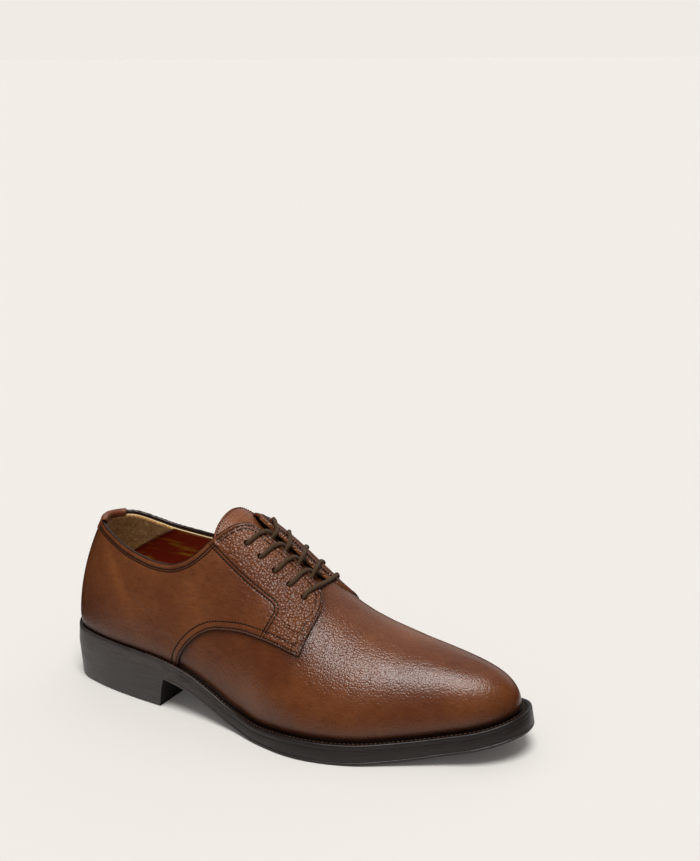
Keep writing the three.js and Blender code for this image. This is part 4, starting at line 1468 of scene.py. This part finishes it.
def lace_paths():
    """One lace: a bar over the lowest eyelets, then each strand goes over its own facing, dips into the slot and
    passes under the other facing to the eyelet below."""
    pitch = (EYELET_LAST - EYELET_FIRST) / (EYELETS - 1)

    def place(side, share, girth, offset):
        return off_last(station_of(share), side_girth(side, girth), offset)

    def from_eyelet(side, share):
        return [place(side, share, EYELET_GIRTH, -1.6), place(side, share, EYELET_GIRTH, 1.2)]

    def bar_end(side):
        return from_eyelet(side, EYELET_LAST) + [
            place(side, EYELET_LAST, EYELET_GIRTH + 0.002, QUARTER_OUT + 0.6),
            place(side, EYELET_LAST, EYELET_GIRTH + 0.014, LACE_OVER + 0.1),
        ]

    def strand(side, at):
        """The outer side's strand lies lower in the slot, under the other one."""
        lift = 1.6 * side
        return from_eyelet(side, at) + [
            place(side, at + 0.002, EYELET_GIRTH + 0.003, QUARTER_OUT + 0.6),
            place(side, at + 0.004, EYELET_GIRTH + 0.016, LACE_OVER + 0.2),
            place(side, at + pitch * 0.16, 0.43, LACE_OVER + 0.15),
            place(side, at + pitch * 0.3, 0.462, LACE_OVER + 0.1),
            place(side, at + pitch * 0.5, 0.499, QUARTER_OUT - 0.6 + lift),
            place(-side, at + pitch * 0.66, 0.468, 0.4 + lift * 0.2),
            place(-side, at + pitch * 0.8, 0.43, LACE_UNDER),
            place(-side, at + pitch * 0.97, EYELET_GIRTH + 0.004, LACE_UNDER),
        ]

    middle = [
        place(-1, EYELET_LAST + 0.008, 0.43, LACE_OVER),
        place(-1, EYELET_LAST + 0.015, 0.463, LACE_OVER),
        place(-1, EYELET_LAST + 0.019, 0.499, LACE_OVER - 0.6),
        place(1, EYELET_LAST + 0.015, 0.463, LACE_OVER),
        place(1, EYELET_LAST + 0.008, 0.43, LACE_OVER + 0.5),
    ]
    paths = [bar_end(-1) + middle + bar_end(1)[::-1]]
    for k in range(EYELETS - 1):
        paths += [strand(side, EYELET_FIRST + pitch * k) for side in (-1, 1)]
    return [rounded_path(path) for path in paths]


def rounded_path(points, count=90):
    """A smooth line through given points."""
    points = np.array(points)
    chord = np.sqrt(np.linalg.norm(np.diff(points, axis=0), axis=1))
    run = np.concatenate([[0], np.cumsum(chord)])
    at = np.linspace(0, run[-1], count)
    return np.stack([smooth_line(run, points[:, k], at) for k in range(3)], -1)


# Stitch rows


def quarter_rows():
    """The two rows inside each quarter's edge and the double row of the facing's seam."""
    rows = []
    lift = QUARTER_OUT - STITCH_SINK + 0.12
    for side in (-1, 1):
        line = EDGES[side]
        for key in ("row_1", "row_2"):
            u, place = moved_on_last(line["u"], line["place"], line[key], side)
            inside = np.minimum(place, 1 - place) > 0.006
            u, place = u[inside], place[inside]
            distance, nearest = distance_to(last_point(u, place), line["points"])
            lifted = off_last(u, place, np.full(len(u), lift))
            rows += split_runs(lifted, distance > line[key][nearest] - 0.25)
        u, place = seam_line(side)
        for shift in (-SEAM_APART, SEAM_APART):
            su, sp = moved_on_last(u, place, np.full(len(u), shift), 1)
            distance = distance_to(last_point(su, sp), line["points"])[0]
            lifted = off_last(su, sp, np.full(len(su), QUARTER_OUT + 0.04))
            rows += split_runs(lifted, distance > 4.6)
    return rows


def split_runs(points, wanted):
    """The stretches of a line whose points are wanted, at an even spacing."""
    runs = [[]]
    for point, good in zip(points, wanted):
        if good:
            runs[-1].append(point)
        elif runs[-1]:
            runs.append([])
    return [resampled(np.array(run), 0.8) for run in runs if len(run) > 4]


def tack_rows(count=12):
    """Bar tack that holds the corner of the quarter to the vamp."""
    rows = []
    for side in (-1, 1):
        for first, last in (((0.546, 0.271), (0.577, 0.277)), ((0.545, 0.2785), (0.555, 0.28))):
            share, girth = (np.linspace(a, b, count) for a, b in zip(first, last))
            rows.append(off_last(station_of(share), side_girth(side, girth), np.full(count, QUARTER_OUT + 0.36)))
    return rows


def welt_rows(count=260):
    """Welt stitches in the channel, from one side of the heel round the toe to the other."""
    half = np.linspace(station_of(0.24), 1, count)
    u = np.concatenate([half, half[::-1][1:]])
    side = np.concatenate([np.full(count, -1), np.full(count - 1, 1)])
    inset = flare_at(u) + (ledge_at(u) - flare_at(u)) * 0.66
    x, y = edge_point(side, u, inset)
    return [resampled(np.stack([x, y, welt_top_at(x) - 0.45], -1), 0.8)]


# Putting it together


def on_shoe(piece, slot_name, *nodes):
    """Rides a piece on the shoe, and hides the nodes that it stands for. Its record slot, slot_name, is not
    used.
    """
    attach(piece, "root")
    if nodes:
        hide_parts(*nodes)
    return piece


on_shoe(outsole(), "outsole_leather", "outsole")
on_shoe(welt(), "welt_leather", "welt")
on_shoe(heel(), "heel_block", "heel")
on_shoe(sock(), "insole_leather", "insole")
on_shoe(quarters(), "upper_leather", "upper")
on_shoe(vamp(), "upper_leather", "upper")
on_shoe(lining(), "upper_leather", "upper")
on_shoe(heel_grip(), "upper_leather")
tongue_piece, tongue_stitch_row = tongue()
on_shoe(tongue_piece, "tongue_leather", "tongue")
on_shoe(back_tab(), "back_tab_leather", "back_tab")
lace_nodes = ["lace_bar"] + [f"lace_cross_{k}" for k in range(1, EYELETS)]
on_shoe(cord_mesh("lace", lace_paths(), LACE_RADIUS, BRAID), "lace_cord", *lace_nodes)
on_shoe(stitched("quarter_stitches", quarter_rows(), 1.9, 1.45, 0.78, SEAM_THREAD), "upper_leather")
on_shoe(stitched("bar_tacks", tack_rows(), 1.7, 1.3, 0.6, SEAM_THREAD), "upper_leather")
on_shoe(stitched("tongue_stitches", [tongue_stitch_row], 1.9, 1.45, 0.75, SEAM_THREAD), "tongue_leather")
on_shoe(stitched("welt_stitches", welt_rows(), 2.5, 2.0, 0.75, WELT_THREAD), "welt_leather")


# Studio

BACKDROP = colour("#f0ebe5")
KEY = 3.1
BACK = 0.75
FRONT = 1.25
FLOOR_WHITE = (0.603, 0.585, 0.563, 1.0)
FLOOR_GLOW = 0.05  # share of the floor's light that comes through it, as on a lit table
TABLE_REACH = 0.07  # how far the shoe's sides still mirror the table round it, m


def flat_ring(name, inner, outer, material):
    """A level frame round the shoe's middle, or a plain sheet where inner is None."""
    cx = 0.11
    corners = [(-1, -1), (1, -1), (1, 1), (-1, 1)]
    points = [(cx + outer[0] * a, outer[1] * b, 0) for a, b in corners]
    faces = [(0, 1, 2, 3)]
    if inner is not None:
        points += [(cx + inner[0] * a, inner[1] * b, 0) for a, b in corners]
        faces = [(k, (k + 1) % 4, 4 + (k + 1) % 4, 4 + k) for k in range(4)]
    mesh = bpy.data.meshes.new(name)
    mesh.from_pydata(points, [], faces)
    mesh.materials.append(material)
    sheet = placed(name, mesh)
    return sheet


def studio_floor():
    """A white table under the shoe and a floor of the same white that carries on from it."""
    s = Shader("white table")
    glow = tuple(c * FLOOR_GLOW for c in BACKDROP[:3]) + (1.0,)
    white = s.finish(FLOOR_WHITE, 1.0, Specular_IOR_Level=0.0, Emission_Color=glow, Emission_Strength=1.0)
    table_size = (0.152 + TABLE_REACH, 0.056 + TABLE_REACH)
    flat_ring("white_table", None, table_size, white)
    far = flat_ring("white_floor", table_size, (60.0, 60.0), white)
    far.visible_glossy = False


def softbox(name, toward, width_degrees, energy, tint):
    """A round softbox far off, as wide as it looks from the shoe."""
    light = bpy.data.lights.new(name, "SUN")
    light.energy = energy
    light.angle = np.radians(width_degrees)
    light.color = tint
    lamp = placed(name, light)
    lamp.rotation_mode = "QUATERNION"
    lamp.rotation_quaternion = Vector(toward).to_track_quat("Z", "Y")
    return lamp


def studio_light():
    world = bpy.data.worlds.new("studio")
    bpy.context.scene.world = world
    world.use_nodes = True
    back = world.node_tree.nodes["Background"]
    back.inputs["Color"].default_value = BACKDROP
    back.inputs["Strength"].default_value = 1.0
    world.cycles_visibility.diffuse = False
    world.cycles_visibility.glossy = False
    softbox("overhead_softbox", (0.18, -0.27, 0.946), 30, KEY, (1.0, 0.985, 0.965))
    softbox("back_wall", (-0.12, 0.82, 0.56), 75, BACK, (1.0, 0.99, 0.98))
    front = softbox("front_fill", (0.1, -0.55, 0.83), 150, FRONT, (1.0, 0.98, 0.96))
    front.visible_glossy = False


def camera():
    """The photo's own viewpoint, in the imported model's frame."""
    place = Vector((0.5202908, -0.6506762, 0.3831634))
    ahead = Vector((-0.4716786, 0.8412615, -0.2641938))
    right = Vector((0.8733533, 0.4870138, -0.0084641))
    up = Vector((-0.1215455, 0.2347269, 0.9644325))
    data = bpy.data.cameras.new("camera")
    data.sensor_width = 36.0
    data.lens = FOCAL_PIXELS * data.sensor_width / IMAGE_HEIGHT
    data.clip_start, data.clip_end = 0.05, 100
    view = placed("camera", data)
    view.matrix_world = Matrix(
        (
            (right.x, up.x, -ahead.x, place.x),
            (right.y, up.y, -ahead.y, place.y),
            (right.z, up.z, -ahead.z, place.z),
            (0, 0, 0, 1),
        )
    )
    bpy.context.scene.camera = view


studio_floor()
studio_light()
camera()
bpy.context.scene.view_settings.view_transform = "Standard"
